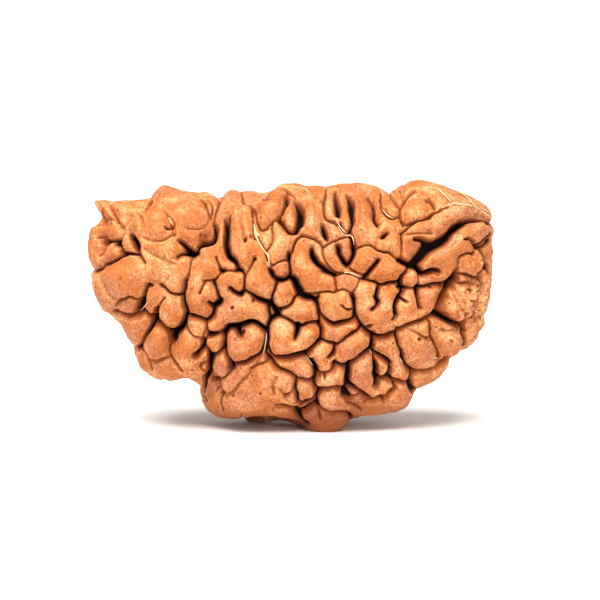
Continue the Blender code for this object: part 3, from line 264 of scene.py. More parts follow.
        ((-12.9, 15.5), (-12.5, 15.15), (-12.2, 14.8), (-12.0, 14.5), (-12.05, 14.1), (-12.0, 13.65),
         (-11.75, 13.2)),
        ((-8.9, 14.9), (-8.4, 14.4), (-8.0, 13.9), (-7.8, 13.75)),
        ((-7.8, 13.75), (-7.4, 14.15), (-7.1, 14.4), (-6.6, 14.55), (-6.3, 14.6), (-6.05, 14.9),
         (-5.95, 15.4), (-5.97, 15.9), (-6.05, 16.3)),
        ((-4.9, 17.1), (-4.95, 16.3), (-5.0, 15.5), (-5.1, 14.5), (-5.15, 13.9), (-4.9, 13.6),
         (-4.5, 13.2), (-4.3, 12.9), (-4.15, 12.55)),
        ((-0.2, 14.0), (-0.2, 13.5), (-0.15, 13.2), (-0.05, 12.6), (-0.1, 12.1), (-0.4, 11.85),
         (-0.7, 11.8), (-1.0, 11.8), (-1.3, 11.95), (-1.55, 12.2), (-1.7, 12.7)),
        ((3.5, 19.0), (3.55, 18.3), (3.6, 17.7), (3.7, 17.1), (3.75, 16.8)),
        ((4.6, 18.7), (4.8, 18.2), (4.85, 17.5), (4.9, 16.8), (4.9, 16.2), (4.7, 15.7), (4.35, 15.5),
         (4.1, 15.8), (3.9, 16.2)),
        ((6.1, 18.7), (6.5, 17.7), (6.6, 17.0), (6.65, 16.5), (6.8, 16.2)),
        ((-11.0, 11.45), (-11.3, 11.5), (-11.45, 11.2), (-11.5, 10.7), (-11.7, 10.35), (-11.9, 9.8),
         (-12.1, 9.4), (-12.35, 9.2)),
        ((-10.6, 8.75), (-11.0, 8.4), (-11.3, 7.9), (-11.6, 7.2), (-11.75, 6.7), (-11.95, 6.4),
         (-12.5, 6.3)),
        ((-10.4, 11.5), (-10.0, 11.1), (-9.6, 10.75), (-9.1, 10.65), (-8.55, 10.65)),
        ((-8.3, 9.4), (-8.3, 8.9), (-8.55, 8.4), (-8.7, 8.2), (-8.9, 7.9), (-9.1, 7.6), (-9.35, 7.45)),
        ((-6.2, 11.7), (-5.95, 11.1), (-5.75, 10.6), (-5.6, 10.1), (-6.1, 9.75), (-6.6, 10.0)),
        ((-4.15, 12.55), (-3.75, 12.35), (-3.7, 11.8), (-3.7, 11.2), (-3.6, 11.0), (-3.3, 10.8),
         (-2.9, 10.55), (-2.5, 10.4), (-2.1, 10.25), (-1.5, 10.2)),
        ((-5.4, 7.7), (-5.1, 8.0), (-4.8, 8.25), (-4.2, 8.3), (-3.6, 8.5), (-3.0, 8.5), (-2.5, 8.2),
         (-2.05, 7.85)),
        ((-1.9, 10.0), (-1.8, 9.6), (-1.7, 9.0), (-1.8, 8.4), (-1.92, 7.7), (-1.95, 7.0),
         (-1.97, 6.4), (-2.0, 6.0), (-1.8, 5.6), (-1.5, 5.3)),
        ((-1.1, 11.7), (-1.3, 11.1), (-1.45, 10.7), (-1.5, 10.2), (-1.3, 9.7), (-0.9, 9.6),
         (-0.5, 9.6), (-0.1, 9.8), (0.1, 10.0), (0.25, 10.4), (0.5, 10.5), (0.8, 10.6)),
        ((1.4, 10.45), (1.7, 10.2), (2.0, 9.9), (2.12, 9.5), (2.2, 9.1), (2.25, 8.7), (2.2, 8.3)),
        ((-0.8, 9.5), (-0.9, 8.98), (-0.4, 8.7), (0.0, 8.5), (0.4, 8.2), (0.9, 8.2), (1.4, 8.4),
         (1.9, 8.45), (2.2, 8.35)),
        ((4.7, 10.7), (4.9, 10.2), (4.95, 9.7), (4.95, 9.2), (5.0, 8.8)),
        ((5.1, 10.4), (5.1, 9.7), (5.12, 9.2), (5.3, 8.8)),
        ((2.1, 6.95), (2.5, 6.95), (3.0, 6.9), (3.4, 6.75), (3.65, 6.65), (4.0, 6.9), (4.4, 7.2),
         (4.8, 7.5), (5.2, 7.75), (5.6, 8.1)),
        ((5.7, 11.85), (6.2, 11.75), (6.7, 11.65), (7.1, 11.4), (7.5, 11.5), (8.0, 11.6),
         (8.5, 11.75), (8.8, 12.1), (9.1, 12.5), (9.3, 12.8), (9.4, 13.2)),
        ((9.3, 13.0), (9.8, 12.85), (10.1, 12.5), (10.4, 12.25), (10.9, 12.5), (11.3, 12.65),
         (11.75, 12.65)),
        ((9.0, 11.2), (8.7, 10.7), (8.4, 10.3), (8.2, 9.9), (8.25, 9.4), (8.4, 9.0), (8.2, 8.7)),
        ((11.1, 9.2), (11.6, 9.0), (12.2, 8.6), (12.6, 8.4), (13.1, 8.4), (13.6, 8.3), (13.8, 8.1),
         (13.8, 7.7), (13.95, 7.3), (14.0, 6.9), (13.9, 6.5)),
        ((-7.1, 7.0), (-6.8, 6.6), (-6.5, 6.4), (-6.2, 6.2), (-5.9, 6.15), (-5.6, 6.2), (-5.4, 6.4),
         (-5.25, 6.7)),
        ((-6.45, 6.2), (-6.5, 5.9), (-6.45, 5.5), (-6.4, 5.1), (-6.42, 4.7), (-6.6, 4.4),
         (-6.75, 4.1), (-6.87, 3.7)),
        ((-6.35, 4.8), (-6.3, 4.6), (-6.15, 4.25), (-5.9, 4.0), (-5.7, 3.8), (-5.6, 3.5),
         (-5.5, 3.15), (-5.35, 2.9)),
        ((0.9, 6.0), (1.1, 5.8), (1.3, 5.5), (1.5, 5.3), (1.7, 5.05), (1.85, 4.75)),
        ((3.45, 6.6), (3.4, 6.2), (3.2, 5.9), (3.0, 5.65)),
        ((4.5, 5.3), (4.35, 4.9), (4.3, 4.5), (4.45, 4.0), (4.7, 3.8), (5.0, 3.5), (5.3, 3.2),
         (5.55, 2.95)),
        ((6.45, 6.15), (6.5, 5.8), (6.55, 5.3), (6.6, 4.8), (6.66, 4.4)),
        ((8.4, 8.0), (8.4, 7.5), (8.5, 7.0), (8.6, 6.6), (8.8, 6.2), (8.87, 5.7), (9.0, 5.3),
         (9.2, 5.0), (9.5, 4.75), (9.85, 4.5)),
        ((7.75, 4.5), (7.6, 4.25), (7.3, 4.2), (7.0, 4.0), (6.8, 3.8), (6.75, 3.5)),
        ((9.3, 4.1), (9.45, 3.7), (9.6, 3.35), (9.85, 3.1)),
        ((1.7, 1.7), (1.95, 1.9), (2.05, 2.3), (2.1, 2.7), (2.3, 3.1)),
        ((16.2, 15.6), (15.8, 15.25), (15.4, 14.95), (15.1, 14.75), (14.7, 14.6), (14.35, 14.5)),
        ((16.05, 15.1), (15.7, 14.65), (15.35, 14.45), (15.2, 14.2), (15.15, 13.9), (15.35, 13.5),
         (15.6, 13.3)),
    ),
    CleftKind.LIP: (
        ((-8.3, 11.7), (-8.4, 11.1), (-8.5, 10.6), (-8.5, 10.1), (-8.3, 9.5), (-8.1, 9.2),
         (-7.8, 9.1), (-7.3, 8.9), (-6.9, 8.7), (-6.6, 8.75), (-6.35, 9.0), (-6.2, 9.5)),
        ((-5.35, 7.7), (-5.15, 7.2), (-5.25, 6.6), (-5.2, 6.3), (-5.1, 6.0), (-4.9, 5.7),
         (-4.6, 5.45), (-4.2, 5.35), (-3.6, 5.4), (-3.2, 5.6), (-2.8, 5.8), (-2.5, 6.0),
         (-2.3, 6.3), (-2.2, 6.7), (-2.1, 7.0), (-2.0, 7.4), (-2.05, 7.85)),
        ((-1.75, 8.35), (-1.8, 7.6), (-1.8, 6.9), (-1.75, 6.5), (-1.6, 6.1), (-1.4, 5.85),
         (-1.0, 5.75), (-0.5, 5.7), (0.0, 5.75), (0.5, 5.95), (1.0, 6.15), (1.5, 6.4), (1.9, 6.7),
         (2.1, 6.9), (2.3, 7.3), (2.3, 7.9), (2.1, 8.3)),
        ((2.2, 10.5), (2.1, 10.2), (2.25, 9.7), (2.35, 9.3), (2.6, 8.9), (3.0, 8.6), (3.4, 8.4),
         (3.9, 8.5), (4.4, 8.65), (4.9, 8.8)),
        ((5.0, 10.7), (5.1, 9.8), (5.15, 9.2), (5.3, 8.8), (5.6, 8.3), (5.9, 8.0), (6.4, 7.6),
         (6.9, 7.35), (7.5, 7.4), (8.0, 7.65), (8.6, 7.95), (9.1, 8.2), (9.8, 8.5), (10.4, 8.8),
         (11.0, 9.2), (11.4, 9.7), (11.8, 10.4), (12.0, 11.1), (12.2, 11.7)),
        ((10.1, 11.4), (10.6, 11.35), (11.0, 11.5), (11.5, 11.7), (12.0, 11.95), (12.5, 12.2),
         (12.9, 12.4), (13.2, 12.45)),
        ((3.4, 5.25), (3.8, 5.25), (4.3, 5.25), (4.7, 5.35), (5.1, 5.5), (5.5, 5.85), (6.0, 6.3),
         (6.2, 6.6), (6.35, 7.0), (6.4, 7.5)),
        ((-1.9, 5.9), (-1.6, 5.6), (-1.4, 5.3), (-1.2, 5.0), (-0.9, 4.7), (-0.6, 4.65),
         (-0.2, 4.5), (0.1, 4.4), (0.4, 4.2), (0.7, 4.05), (1.2, 3.95), (1.6, 4.0), (1.8, 4.2),
         (1.9, 4.65)),
        ((1.95, 4.7), (2.2, 4.55), (2.6, 4.5), (3.0, 4.55), (3.25, 4.75), (3.37, 5.0), (3.4, 5.3)),
        ((1.75, 4.05), (1.8, 3.8), (2.0, 3.5), (2.3, 3.3), (2.6, 3.25), (3.0, 3.25), (3.4, 3.35),
         (3.7, 3.5), (4.0, 3.65), (4.4, 3.75)),
        ((0.5, 4.0), (0.4, 3.6), (0.35, 3.2), (0.5, 2.9), (0.65, 2.6), (0.9, 2.42), (1.3, 2.5),
         (1.6, 2.57), (1.85, 2.75), (2.1, 2.95), (2.4, 3.2)),
        ((4.5, 3.95), (4.7, 3.78), (5.0, 3.5), (5.3, 3.2), (5.5, 3.0), (5.7, 2.8), (6.0, 2.5),
         (6.3, 2.35), (6.6, 2.3), (7.0, 2.5), (7.6, 2.42), (8.0, 2.9)),
        ((6.45, 6.2), (6.8, 6.05), (7.1, 5.85), (7.5, 5.65), (7.8, 5.4), (8.0, 5.1), (7.85, 4.9),
         (7.75, 4.6), (7.62, 4.2), (7.9, 4.05), (8.2, 3.95), (8.6, 3.9), (9.0, 3.95), (9.4, 4.1),
         (9.8, 4.5)),
        ((9.0, 5.35), (9.2, 5.0), (9.5, 4.75), (9.85, 4.55), (10.5, 4.6), (11.0, 4.67), (11.5, 4.8),
         (11.9, 5.1), (12.4, 5.5)),
        ((2.1, 2.8), (2.12, 2.2), (2.2, 1.9), (2.4, 1.6), (2.7, 1.4), (3.0, 1.25), (3.4, 1.2),
         (3.8, 1.25), (4.2, 1.2)),
        ((-0.5, 1.85), (0.0, 1.8), (0.3, 1.7), (0.6, 1.62), (1.0, 1.65), (1.3, 1.7), (1.7, 1.75)),
        ((-10.6, 8.7), (-10.2, 8.3), (-10.0, 8.0), (-9.6, 7.9), (-9.2, 7.95), (-8.8, 8.15)),
        ((-9.1, 13.7), (-8.7, 13.85), (-8.2, 13.8), (-7.8, 13.75)),
        ((-14.3, 9.3), (-13.9, 9.3), (-13.1, 9.0), (-12.5, 9.0), (-12.2, 9.2)),
        ((-0.9, 16.5), (-0.4, 15.9), (0.0, 15.6), (0.4, 15.55)),
    ),
    CleftKind.FOLD: (
        ((-15.4, 17.7), (-15.2, 17.2), (-14.95, 16.7), (-14.8, 16.3)),
        ((-14.55, 17.85), (-14.2, 17.2), (-14.0, 16.8), (-13.8, 16.35)),
        ((-15.7, 15.2), (-15.35, 15.35), (-15.0, 15.3), (-14.75, 15.0)),
        ((-7.25, 18.4), (-6.95, 17.95), (-6.7, 17.4), (-6.45, 16.85)),
        ((-6.6, 18.3), (-6.35, 17.8), (-6.3, 17.3), (-6.4, 16.9)),
        ((-5.7, 18.9), (-5.75, 18.2), (-5.85, 17.7), (-6.05, 17.1), (-6.15, 16.4)),
        ((-3.95, 18.9), (-3.8, 18.0), (-3.5, 17.85), (-3.15, 17.85), (-3.15, 17.3), (-3.05, 16.7),
         (-3.0, 16.2), (-2.9, 15.6), (-2.85, 15.1)),
        ((-2.95, 17.6), (-2.8, 17.0), (-2.75, 16.5), (-2.5, 16.0), (-2.25, 15.8), (-1.9, 15.9)),
        ((-2.7, 15.2), (-2.3, 14.5), (-1.95, 14.15), (-1.7, 14.4), (-1.5, 15.0), (-1.5, 15.6),
         (-1.5, 16.3)),
        ((-1.95, 14.1), (-1.95, 13.7), (-1.75, 13.1), (-1.7, 12.7)),
        ((-0.35, 18.9), (-0.45, 18.0), (-0.6, 17.5), (-0.8, 17.0), (-1.1, 16.7), (-1.5, 16.6),
         (-1.9, 15.9)),
        ((-1.7, 13.1), (-1.4, 13.0), (-1.0, 13.2), (-0.5, 13.4), (-0.2, 13.4)),
        ((-2.0, 18.4), (-1.7, 18.8), (-1.2, 19.1), (-0.6, 19.15), (-0.1, 18.9), (0.3, 18.5)),
        ((2.75, 19.2), (2.7, 18.4), (2.6, 17.8), (2.6, 17.3), (2.75, 16.8), (3.1, 16.5),
         (3.6, 16.2), (4.0, 15.7)),
        ((4.8, 15.6), (4.8, 15.2), (4.9, 14.7), (5.05, 14.2), (4.9, 13.7), (4.7, 13.3),
         (4.5, 12.95)),
        ((3.65, 14.6), (3.75, 14.1), (4.0, 13.6), (4.2, 13.2), (4.45, 12.95)),
        ((7.15, 18.9), (7.15, 18.2), (7.2, 17.6), (7.5, 17.1), (8.0, 16.7), (8.4, 16.75),
         (8.65, 16.8), (8.8, 16.4), (8.95, 16.1)),
        ((7.7, 19.2), (7.9, 18.7), (8.1, 18.3), (8.4, 17.8), (8.65, 17.5), (8.65, 16.9)),
        ((8.5, 19.5), (8.7, 18.8), (9.05, 18.1), (8.75, 17.6)),
        ((8.7, 15.5), (9.1, 15.75), (9.5, 16.1), (9.9, 16.45)),
        ((8.8, 16.5), (9.15, 16.25), (9.6, 16.4), (10.05, 16.6), (10.6, 16.65), (11.1, 16.75),
         (11.5, 17.1), (12.1, 17.5), (12.75, 17.85)),
        ((-6.85, 11.65), (-7.13, 11.15), (-7.38, 10.65)),
        ((8.8, 15.5), (8.85, 14.8), (8.85, 14.2), (8.8, 13.9), (8.6, 13.45)),
        ((5.05, 14.2), (5.5, 14.4), (5.9, 14.55), (6.3, 14.55), (6.8, 14.2), (7.2, 14.1),
         (7.8, 14.0), (8.2, 13.6), (8.6, 13.4), (9.0, 13.3), (9.4, 13.15)),
        ((14.35, 14.45), (14.2, 14.2), (13.9, 13.9), (13.5, 13.6), (13.4, 13.4), (13.4, 12.9),
         (13.2, 12.4)),
        ((15.05, 14.6), (15.0, 13.8), (15.0, 13.0), (14.95, 12.5), (14.75, 12.1), (14.3, 12.1),
         (13.8, 12.3), (13.2, 12.4)),
        ((-10.1, 10.4), (-10.35, 10.0), (-10.5, 9.5), (-10.45, 9.1), (-10.6, 8.7)),
        ((-6.0, 13.6), (-5.8, 13.1), (-5.6, 12.7), (-5.45, 12.45), (-5.7, 12.2), (-6.0, 11.9),
         (-6.4, 11.75), (-7.0, 11.75)),
        ((-5.45, 12.5), (-5.0, 12.5), (-4.6, 12.5), (-4.15, 12.55)),
        ((-7.0, 8.7), (-6.8, 8.4), (-6.75, 8.0), (-6.5, 7.6), (-6.3, 7.5), (-5.9, 7.6),
         (-5.4, 7.7)),
        ((-6.75, 8.0), (-7.0, 7.5), (-7.05, 7.0)),
        ((-8.3, 8.4), (-8.2, 7.8), (-7.9, 7.35), (-7.4, 7.2), (-6.95, 7.2), (-6.6, 7.4)),
        ((-2.95, 13.6), (-3.2, 12.9), (-3.5, 12.3), (-3.65, 11.9)),
        ((4.5, 2.75), (5.1, 2.55), (5.9, 2.75), (6.3, 2.36), (5.9, 1.95)),
        ((7.9, 4.2), (8.1, 3.6), (8.5, 2.95), (7.9, 2.55)),
        ((0.35, 2.0), (0.9, 2.2), (1.5, 2.25), (2.05, 2.5)),
        ((-14.1, 9.75), (-13.8, 10.15), (-13.3, 10.32), (-12.9, 10.48), (-12.5, 10.34), (-11.9, 10.34)),
        ((-12.0, 6.3), (-11.7, 6.08), (-11.6, 5.57), (-11.35, 5.05), (-11.2, 4.5)),
        ((0.9, 10.85), (1.6, 10.8), (2.3, 10.8), (2.9, 10.85), (3.5, 10.8), (3.9, 11.0),
         (4.2, 11.05), (4.6, 10.9), (4.9, 10.8)),
        ((3.45, 12.1), (3.55, 11.6), (3.6, 11.1), (3.55, 10.85)),
        ((1.7, 13.4), (1.9, 13.0), (2.2, 12.75), (2.6, 12.4), (3.0, 12.3), (3.4, 12.15),
         (3.65, 12.1), (4.0, 12.3), (4.5, 12.35), (4.9, 12.2), (5.3, 12.0), (5.7, 11.85)),
        ((2.5, 13.9), (2.65, 13.4), (2.85, 13.1), (3.1, 12.8), (3.5, 12.5), (3.9, 12.35)),
        ((4.7, 12.7), (5.0, 12.5), (5.4, 12.35), (5.8, 12.2)),
        ((7.05, 13.4), (6.7, 13.0), (6.3, 12.6), (5.9, 12.2), (5.7, 11.9)),
        ((5.5, 11.8), (5.3, 11.3), (5.0, 10.9), (4.95, 10.5)),
        ((9.3, 12.4), (8.9, 12.0), (8.7, 11.6), (8.8, 11.25), (9.1, 11.2), (9.6, 11.25),
         (10.0, 11.35), (10.05, 11.8), (10.2, 12.3)),
        ((10.0, 11.2), (10.0, 10.6), (10.05, 10.1), (10.3, 9.6)),
        ((10.8, 8.9), (11.0, 8.4), (11.1, 7.8), (11.2, 7.3), (11.4, 6.9), (11.5, 6.5), (11.7, 6.0),
         (11.75, 5.6)),
        ((-9.5, 7.2), (-9.7, 6.7), (-9.8, 6.2), (-9.65, 5.8), (-9.45, 5.55), (-9.3, 5.35),
         (-9.2, 5.1), (-9.05, 4.8), (-8.8, 4.4)),
        ((-6.7, 5.4), (-6.95, 5.3), (-7.2, 5.05), (-7.35, 4.75)),
        ((-7.3, 4.75), (-6.9, 4.75), (-6.5, 4.7)),
        ((-0.5, 2.65), (-0.2, 2.8), (0.0, 2.95), (0.2, 3.15), (0.35, 3.3)),
        ((4.1, 3.4), (4.05, 3.0), (4.1, 2.6), (4.25, 2.25), (4.5, 2.0), (4.9, 1.85), (5.3, 1.6),
         (5.6, 1.3)),
        ((-1.6, 5.4), (-2.0, 5.25), (-2.4, 5.1), (-2.8, 4.9), (-3.2, 4.7)),
        ((8.4, 3.8), (8.3, 3.5), (8.2, 3.2), (8.0, 3.0), (8.1, 2.75), (8.3, 2.6)),
        ((13.7, 8.3), (14.0, 8.6), (14.4, 8.9), (15.0, 9.1)),
        ((-5.35, 2.9), (-5.55, 2.5), (-5.65, 2.1), (-5.65, 1.6), (-5.6, 1.2)),
        ((-11.2, 18.3), (-11.6, 17.6), (-11.9, 17.4)),
        ((2.1, 1.5), (2.25, 1.0), (2.3, 0.5)),
        ((0.1, 14.0), (0.3, 14.7), (0.7, 15.15), (1.3, 15.3), (1.95, 15.05), (2.4, 14.5), (2.5, 14.0)),
        ((2.5, 14.3), (3.0, 14.65), (3.6, 14.95), (4.2, 15.15), (4.75, 15.25)),
        ((-7.8, 13.7), (-7.95, 13.2), (-8.05, 12.7), (-8.2, 12.1), (-8.3, 11.7)),
        ((-4.9, 5.6), (-4.75, 5.1), (-4.85, 4.6), (-5.1, 4.2), (-5.5, 4.05), (-5.9, 4.4), (-6.15, 4.9)),
    ),
    CleftKind.VALLEY: (
        ((-15.5, 18.1), (-15.1, 17.6), (-14.8, 17.15), (-14.5, 16.7), (-14.1, 16.6), (-13.85, 16.75),
         (-13.6, 17.0), (-13.2, 17.15), (-12.75, 17.05)),
        ((-13.7, 17.0), (-13.75, 16.6), (-13.6, 16.2), (-13.45, 15.95)),
        ((-12.85, 17.0), (-12.85, 16.6), (-13.1, 16.3), (-13.4, 16.05)),
        ((-14.4, 17.8), (-13.95, 17.5), (-13.8, 17.1)),
        ((-15.75, 16.3), (-15.3, 16.25), (-14.9, 16.5), (-14.5, 16.65)),
        ((-13.4, 15.9), (-13.45, 15.5), (-13.6, 15.1)),
        ((-10.35, 17.6), (-9.95, 17.15), (-9.7, 16.8), (-9.45, 16.4), (-9.35, 15.8), (-9.3, 15.3)),
        ((-12.3, 17.3), (-11.9, 16.6), (-11.8, 15.9), (-12.1, 15.3)),
        ((-11.8, 15.2), (-11.3, 15.0), (-10.6, 14.95), (-10.0, 15.1), (-9.4, 15.4)),
        ((-11.5, 14.3), (-11.2, 13.9), (-10.6, 13.6), (-10.0, 13.3), (-9.3, 13.1)),
        ((-8.3, 16.0), (-7.6, 15.9), (-6.9, 16.1), (-6.4, 16.6)),
        ((-4.1, 17.8), (-4.1, 17.2), (-4.0, 16.4), (-3.85, 15.6), (-3.7, 15.0)),
        ((6.9, 16.0), (6.95, 15.4), (6.85, 14.9), (6.7, 14.4)),
        ((9.0, 15.4), (9.6, 15.5), (10.4, 15.5), (11.2, 15.5)),
        ((14.9, 17.2), (15.5, 16.95), (16.0, 16.7)),
        ((12.9, 11.0), (13.2, 10.4), (13.5, 9.7), (13.7, 9.0), (13.7, 8.4)),
        ((15.4, 12.2), (15.35, 11.4), (15.2, 10.6), (15.0, 9.8), (14.9, 9.0), (14.6, 8.2), (14.2, 7.4)),
        ((13.2, 11.4), (13.8, 11.6), (14.4, 11.7), (15.0, 11.9)),
        ((12.0, 7.9), (12.5, 7.7), (13.0, 7.8), (13.6, 7.9)),
        ((9.3, 7.9), (9.9, 7.6), (10.5, 7.3), (11.0, 7.0)),
        ((-15.5, 12.3), (-15.0, 11.2), (-14.4, 10.4), (-13.6, 10.1)),
        ((-11.2, 5.4), (-10.6, 5.3), (-10.0, 5.5), (-9.6, 5.6)),
        ((-2.4, 5.8), (-2.8, 5.1), (-3.3, 4.4), (-3.9, 3.7), (-4.6, 3.0), (-5.2, 2.6)),
        ((-1.2, 4.0), (-1.5, 3.3), (-1.4, 2.6)),
        ((-0.9, 3.0), (-0.4, 2.5), (0.3, 2.3)),
        ((-0.8, 1.9), (-1.1, 1.6), (-1.5, 1.2)),
    ),
    CleftKind.CREASE: (
        ((-11.7, 13.1), (-11.65, 12.4), (-11.6, 11.6)),
        ((-5.1, 18.5), (-5.35, 18.1), (-5.7, 17.7)),
        ((-6.6, 16.1), (-7.0, 15.7), (-7.3, 15.3), (-7.25, 14.5)),
        ((-10.1, 13.15), (-9.6, 13.2), (-9.1, 13.0)),
        ((-13.0, 17.45), (-12.8, 17.3), (-12.65, 17.1)),
        ((-4.15, 14.4), (-4.2, 13.8), (-4.35, 13.2)),
        ((-1.0, 14.7), (-1.4, 14.3), (-1.7, 14.0)),
        ((3.95, 18.3), (3.85, 17.8), (3.75, 17.2)),
        ((6.0, 16.7), (6.3, 16.4), (6.6, 16.1), (6.85, 15.8)),
        ((6.85, 16.2), (7.2, 16.35), (7.4, 16.5)),
        ((7.5, 17.5), (7.8, 17.1), (8.1, 16.8)),
        ((12.3, 18.9), (12.7, 18.5), (13.0, 18.15)),
        ((15.1, 15.9), (15.2, 16.2), (15.5, 16.3)),
        ((-4.6, 4.6), (-4.8, 4.3), (-5.1, 4.0)),
        ((7.1, 11.4), (7.0, 11.0), (6.7, 10.7)),
        ((1.2, 3.4), (1.5, 3.55), (1.7, 3.6)),
        ((6.7, 3.5), (6.65, 3.2)),
        ((8.1, 1.85), (8.5, 1.9), (8.9, 1.9)),
        ((-4.0, 1.1), (-4.0, 0.8), (-3.9, 0.6)),
        ((6.2, 13.6), (6.6, 13.5), (7.0, 13.4)),
        ((12.2, 14.2), (12.8, 14.5), (13.3, 14.9)),
    ),
    CleftKind.NICK: (
        ((-10.15, 16.05), (-9.85, 15.85), (-9.6, 15.95), (-9.55, 16.4)),
        ((-7.25, 18.35), (-7.0, 18.1), (-6.75, 17.95)),
        ((11.05, 18.3), (11.05, 17.95), (11.2, 17.65)),
        ((-3.75, 15.2), (-3.6, 15.0), (-3.75, 14.8)),
        ((-3.0, 13.7), (-2.8, 13.4)),
        ((2.4, 16.2), (2.6, 15.6), (2.8, 15.0)),
        ((9.0, 17.95), (9.3, 18.46), (9.7, 18.8), (10.1, 19.0)),
        ((7.3, 15.2), (7.6, 15.5)),
        ((13.7, 15.05), (14.2, 15.1), (14.4, 14.8)),
        ((-4.9, 11.1), (-4.6, 10.9), (-4.3, 10.65), (-4.05, 10.6), (-3.85, 10.8), (-3.75, 11.1)),
        ((-3.1, 10.0), (-3.05, 10.3)),
        ((-4.2, 8.1), (-4.1, 7.5), (-4.0, 7.0)),
        ((-3.65, 7.9), (-3.9, 7.4)),
        ((0.5, 8.2), (0.5, 7.6), (0.4, 7.1)),
        ((3.9, 9.8), (4.2, 9.6), (4.6, 9.5), (4.85, 9.6)),
        ((6.5, 10.6), (6.8, 10.3), (6.85, 10.0), (6.8, 9.75), (6.5, 9.5), (6.4, 9.35)),
        ((8.6, 10.4), (9.0, 10.2), (9.3, 9.95)),
        ((8.3, 11.4), (8.5, 11.2)),
        ((11.0, 11.3), (11.15, 11.1)),
        ((5.9, 8.15), (6.2, 8.2), (6.5, 8.3)),
        ((13.8, 7.65), (14.1, 7.6), (14.3, 7.75)),
        ((-4.85, 5.3), (-4.8, 5.0), (-4.65, 4.8)),
        ((-6.75, 3.3), (-6.7, 2.8)),
        ((2.3, 4.4), (2.3, 4.05)),
        ((2.6, 4.35), (2.72, 4.0)),
        ((7.05, 2.5), (7.2, 2.3), (7.35, 2.1), (7.45, 1.9)),
        ((10.1, 7.1), (10.4, 6.95)),
        ((10.8, 7.3), (10.95, 7.05)),
    ),
}

# Tiny pits in the face, painted dark as shade: x, face height and radius in millimetres.
PITS = (
    (-13.5, 16.0, 0.13), (-14.0, 17.5, 0.1), (-9.35, 15.5, 0.16), (-15.5, 13.8, 0.12),
    (-7.2, 15.35, 0.12), (-6.8, 15.25, 0.1), (-6.5, 16.8, 0.16), (-9.8, 13.0, 0.1),
    (-3.2, 15.2, 0.16), (-2.25, 18.25, 0.12), (-1.87, 15.88, 0.12), (-2.4, 16.7, 0.1),
    (0.8, 15.25, 0.1), (15.2, 12.85, 0.16), (15.8, 13.0, 0.14), (15.8, 12.4, 0.12),
    (-4.7, 9.55, 0.13), (-1.1, 9.05, 0.13), (14.2, 10.2, 0.12), (11.5, 8.1, 0.1),
    (12.0, 8.0, 0.1), (12.3, 7.8, 0.12), (12.8, 7.9, 0.1), (13.1, 8.0, 0.1),
    (12.8, 6.9, 0.1), (-7.77, 5.6, 0.16), (-7.9, 4.6, 0.1), (8.1, 6.8, 0.1),
    (-4.65, 2.6, 0.12), (-3.1, 4.1, 0.1), (-2.5, 2.75, 0.1),
)

# Paler (+) and browner (-) zones of the face: x, face height, reach across, reach up, amount.
# The browner zones low on the belly, in hollows and under overhanging lobes are painted shade.
TONES = (
    (12.0, 10.4, 0.7, 1.0, -0.8), (-9.7, 6.7, 0.45, 1.2, -0.75), (-4.1, 2.8, 0.8, 0.4, -0.5),
    (9.7, 14.4, 0.8, 0.8, -0.5), (-7.0, 15.3, 0.6, 0.5, -0.6), (-12.0, 9.8, 0.5, 0.6, -0.5),
    (2.2, 0.4, 2.2, 0.9, -1.2), (0.6, 1.3, 0.9, 0.35, -0.9), (4.9, 1.0, 0.6, 0.5, -0.7),
    (5.0, 2.3, 1.2, 0.7, -0.4), (13.4, 10.2, 0.8, 0.7, 1.0), (3.1, 2.1, 0.8, 0.45, 0.6),
    (-0.9, 3.7, 1.1, 0.9, 0.35), (-4.0, 0.7, 3.0, 0.8, -0.6), (6.8, 1.6, 2.6, 0.7, -0.5),
    (11.9, 9.9, 0.5, 0.9, -0.6),
    (-8.2, 16.2, 1.2, 1.6, -0.35), (-14.7, 16.7, 0.7, 1.0, -0.45), (-15.0, 15.1, 0.5, 0.35, -0.8),
    (-10.0, 16.5, 0.35, 0.9, -0.5), (-11.6, 13.4, 1.0, 0.6, 0.25), (-13.6, 11.6, 1.2, 1.0, -0.15),
    (9.9, 14.0, 0.7, 0.8, -1.1), (11.2, 15.6, 1.0, 0.6, -0.45), (15.5, 13.4, 0.5, 0.9, -0.6),
    (-11.2, 8.9, 0.5, 0.35, -0.7), (-10.9, 5.2, 1.2, 0.9, -0.35), (-7.3, 5.0, 0.8, 0.7, -0.25),
    (-2.4, 17.0, 0.5, 1.1, -0.4), (-0.9, 18.0, 0.5, 0.9, -0.3), (0.2, 17.0, 0.3, 1.2, -0.45),
    (-5.3, 15.2, 0.3, 1.4, -0.5), (-6.9, 2.9, 0.5, 0.6, -0.6), (11.0, 19.1, 0.9, 0.2, 0.6),
    (13.4, 17.95, 0.8, 0.2, 0.5), (-7.4, 8.0, 0.5, 0.5, 0.4), (-1.2, 15.0, 0.5, 0.6, 0.5),
    (-13.0, 8.9, 0.8, 0.2, -0.5),
    (-3.0, 4.2, 0.5, 0.9, -0.5), (12.9, 8.9, 1.0, 0.4, -0.5), (-6.6, 16.0, 0.4, 1.0, -0.4),
    (-3.6, 13.9, 1.0, 1.4, 0.3), (-2.2, 14.8, 0.8, 0.9, 0.45), (4.2, 15.9, 0.9, 0.5, 0.4),
    (8.6, 15.3, 1.5, 0.8, 0.25), (11.8, 17.3, 2.4, 0.6, 0.3), (1.9, 12.6, 1.5, 0.9, 0.2),
    (8.0, 9.4, 3.2, 1.8, 0.2), (-0.4, 8.4, 1.4, 0.8, 0.25), (-7.2, 3.5, 0.4, 0.6, 0.3),
    (10.0, 3.2, 1.2, 0.7, 0.15), (12.8, 7.3, 0.9, 0.8, 0.6), (-5.5, 9.0, 2.0, 0.7, 0.15),
)

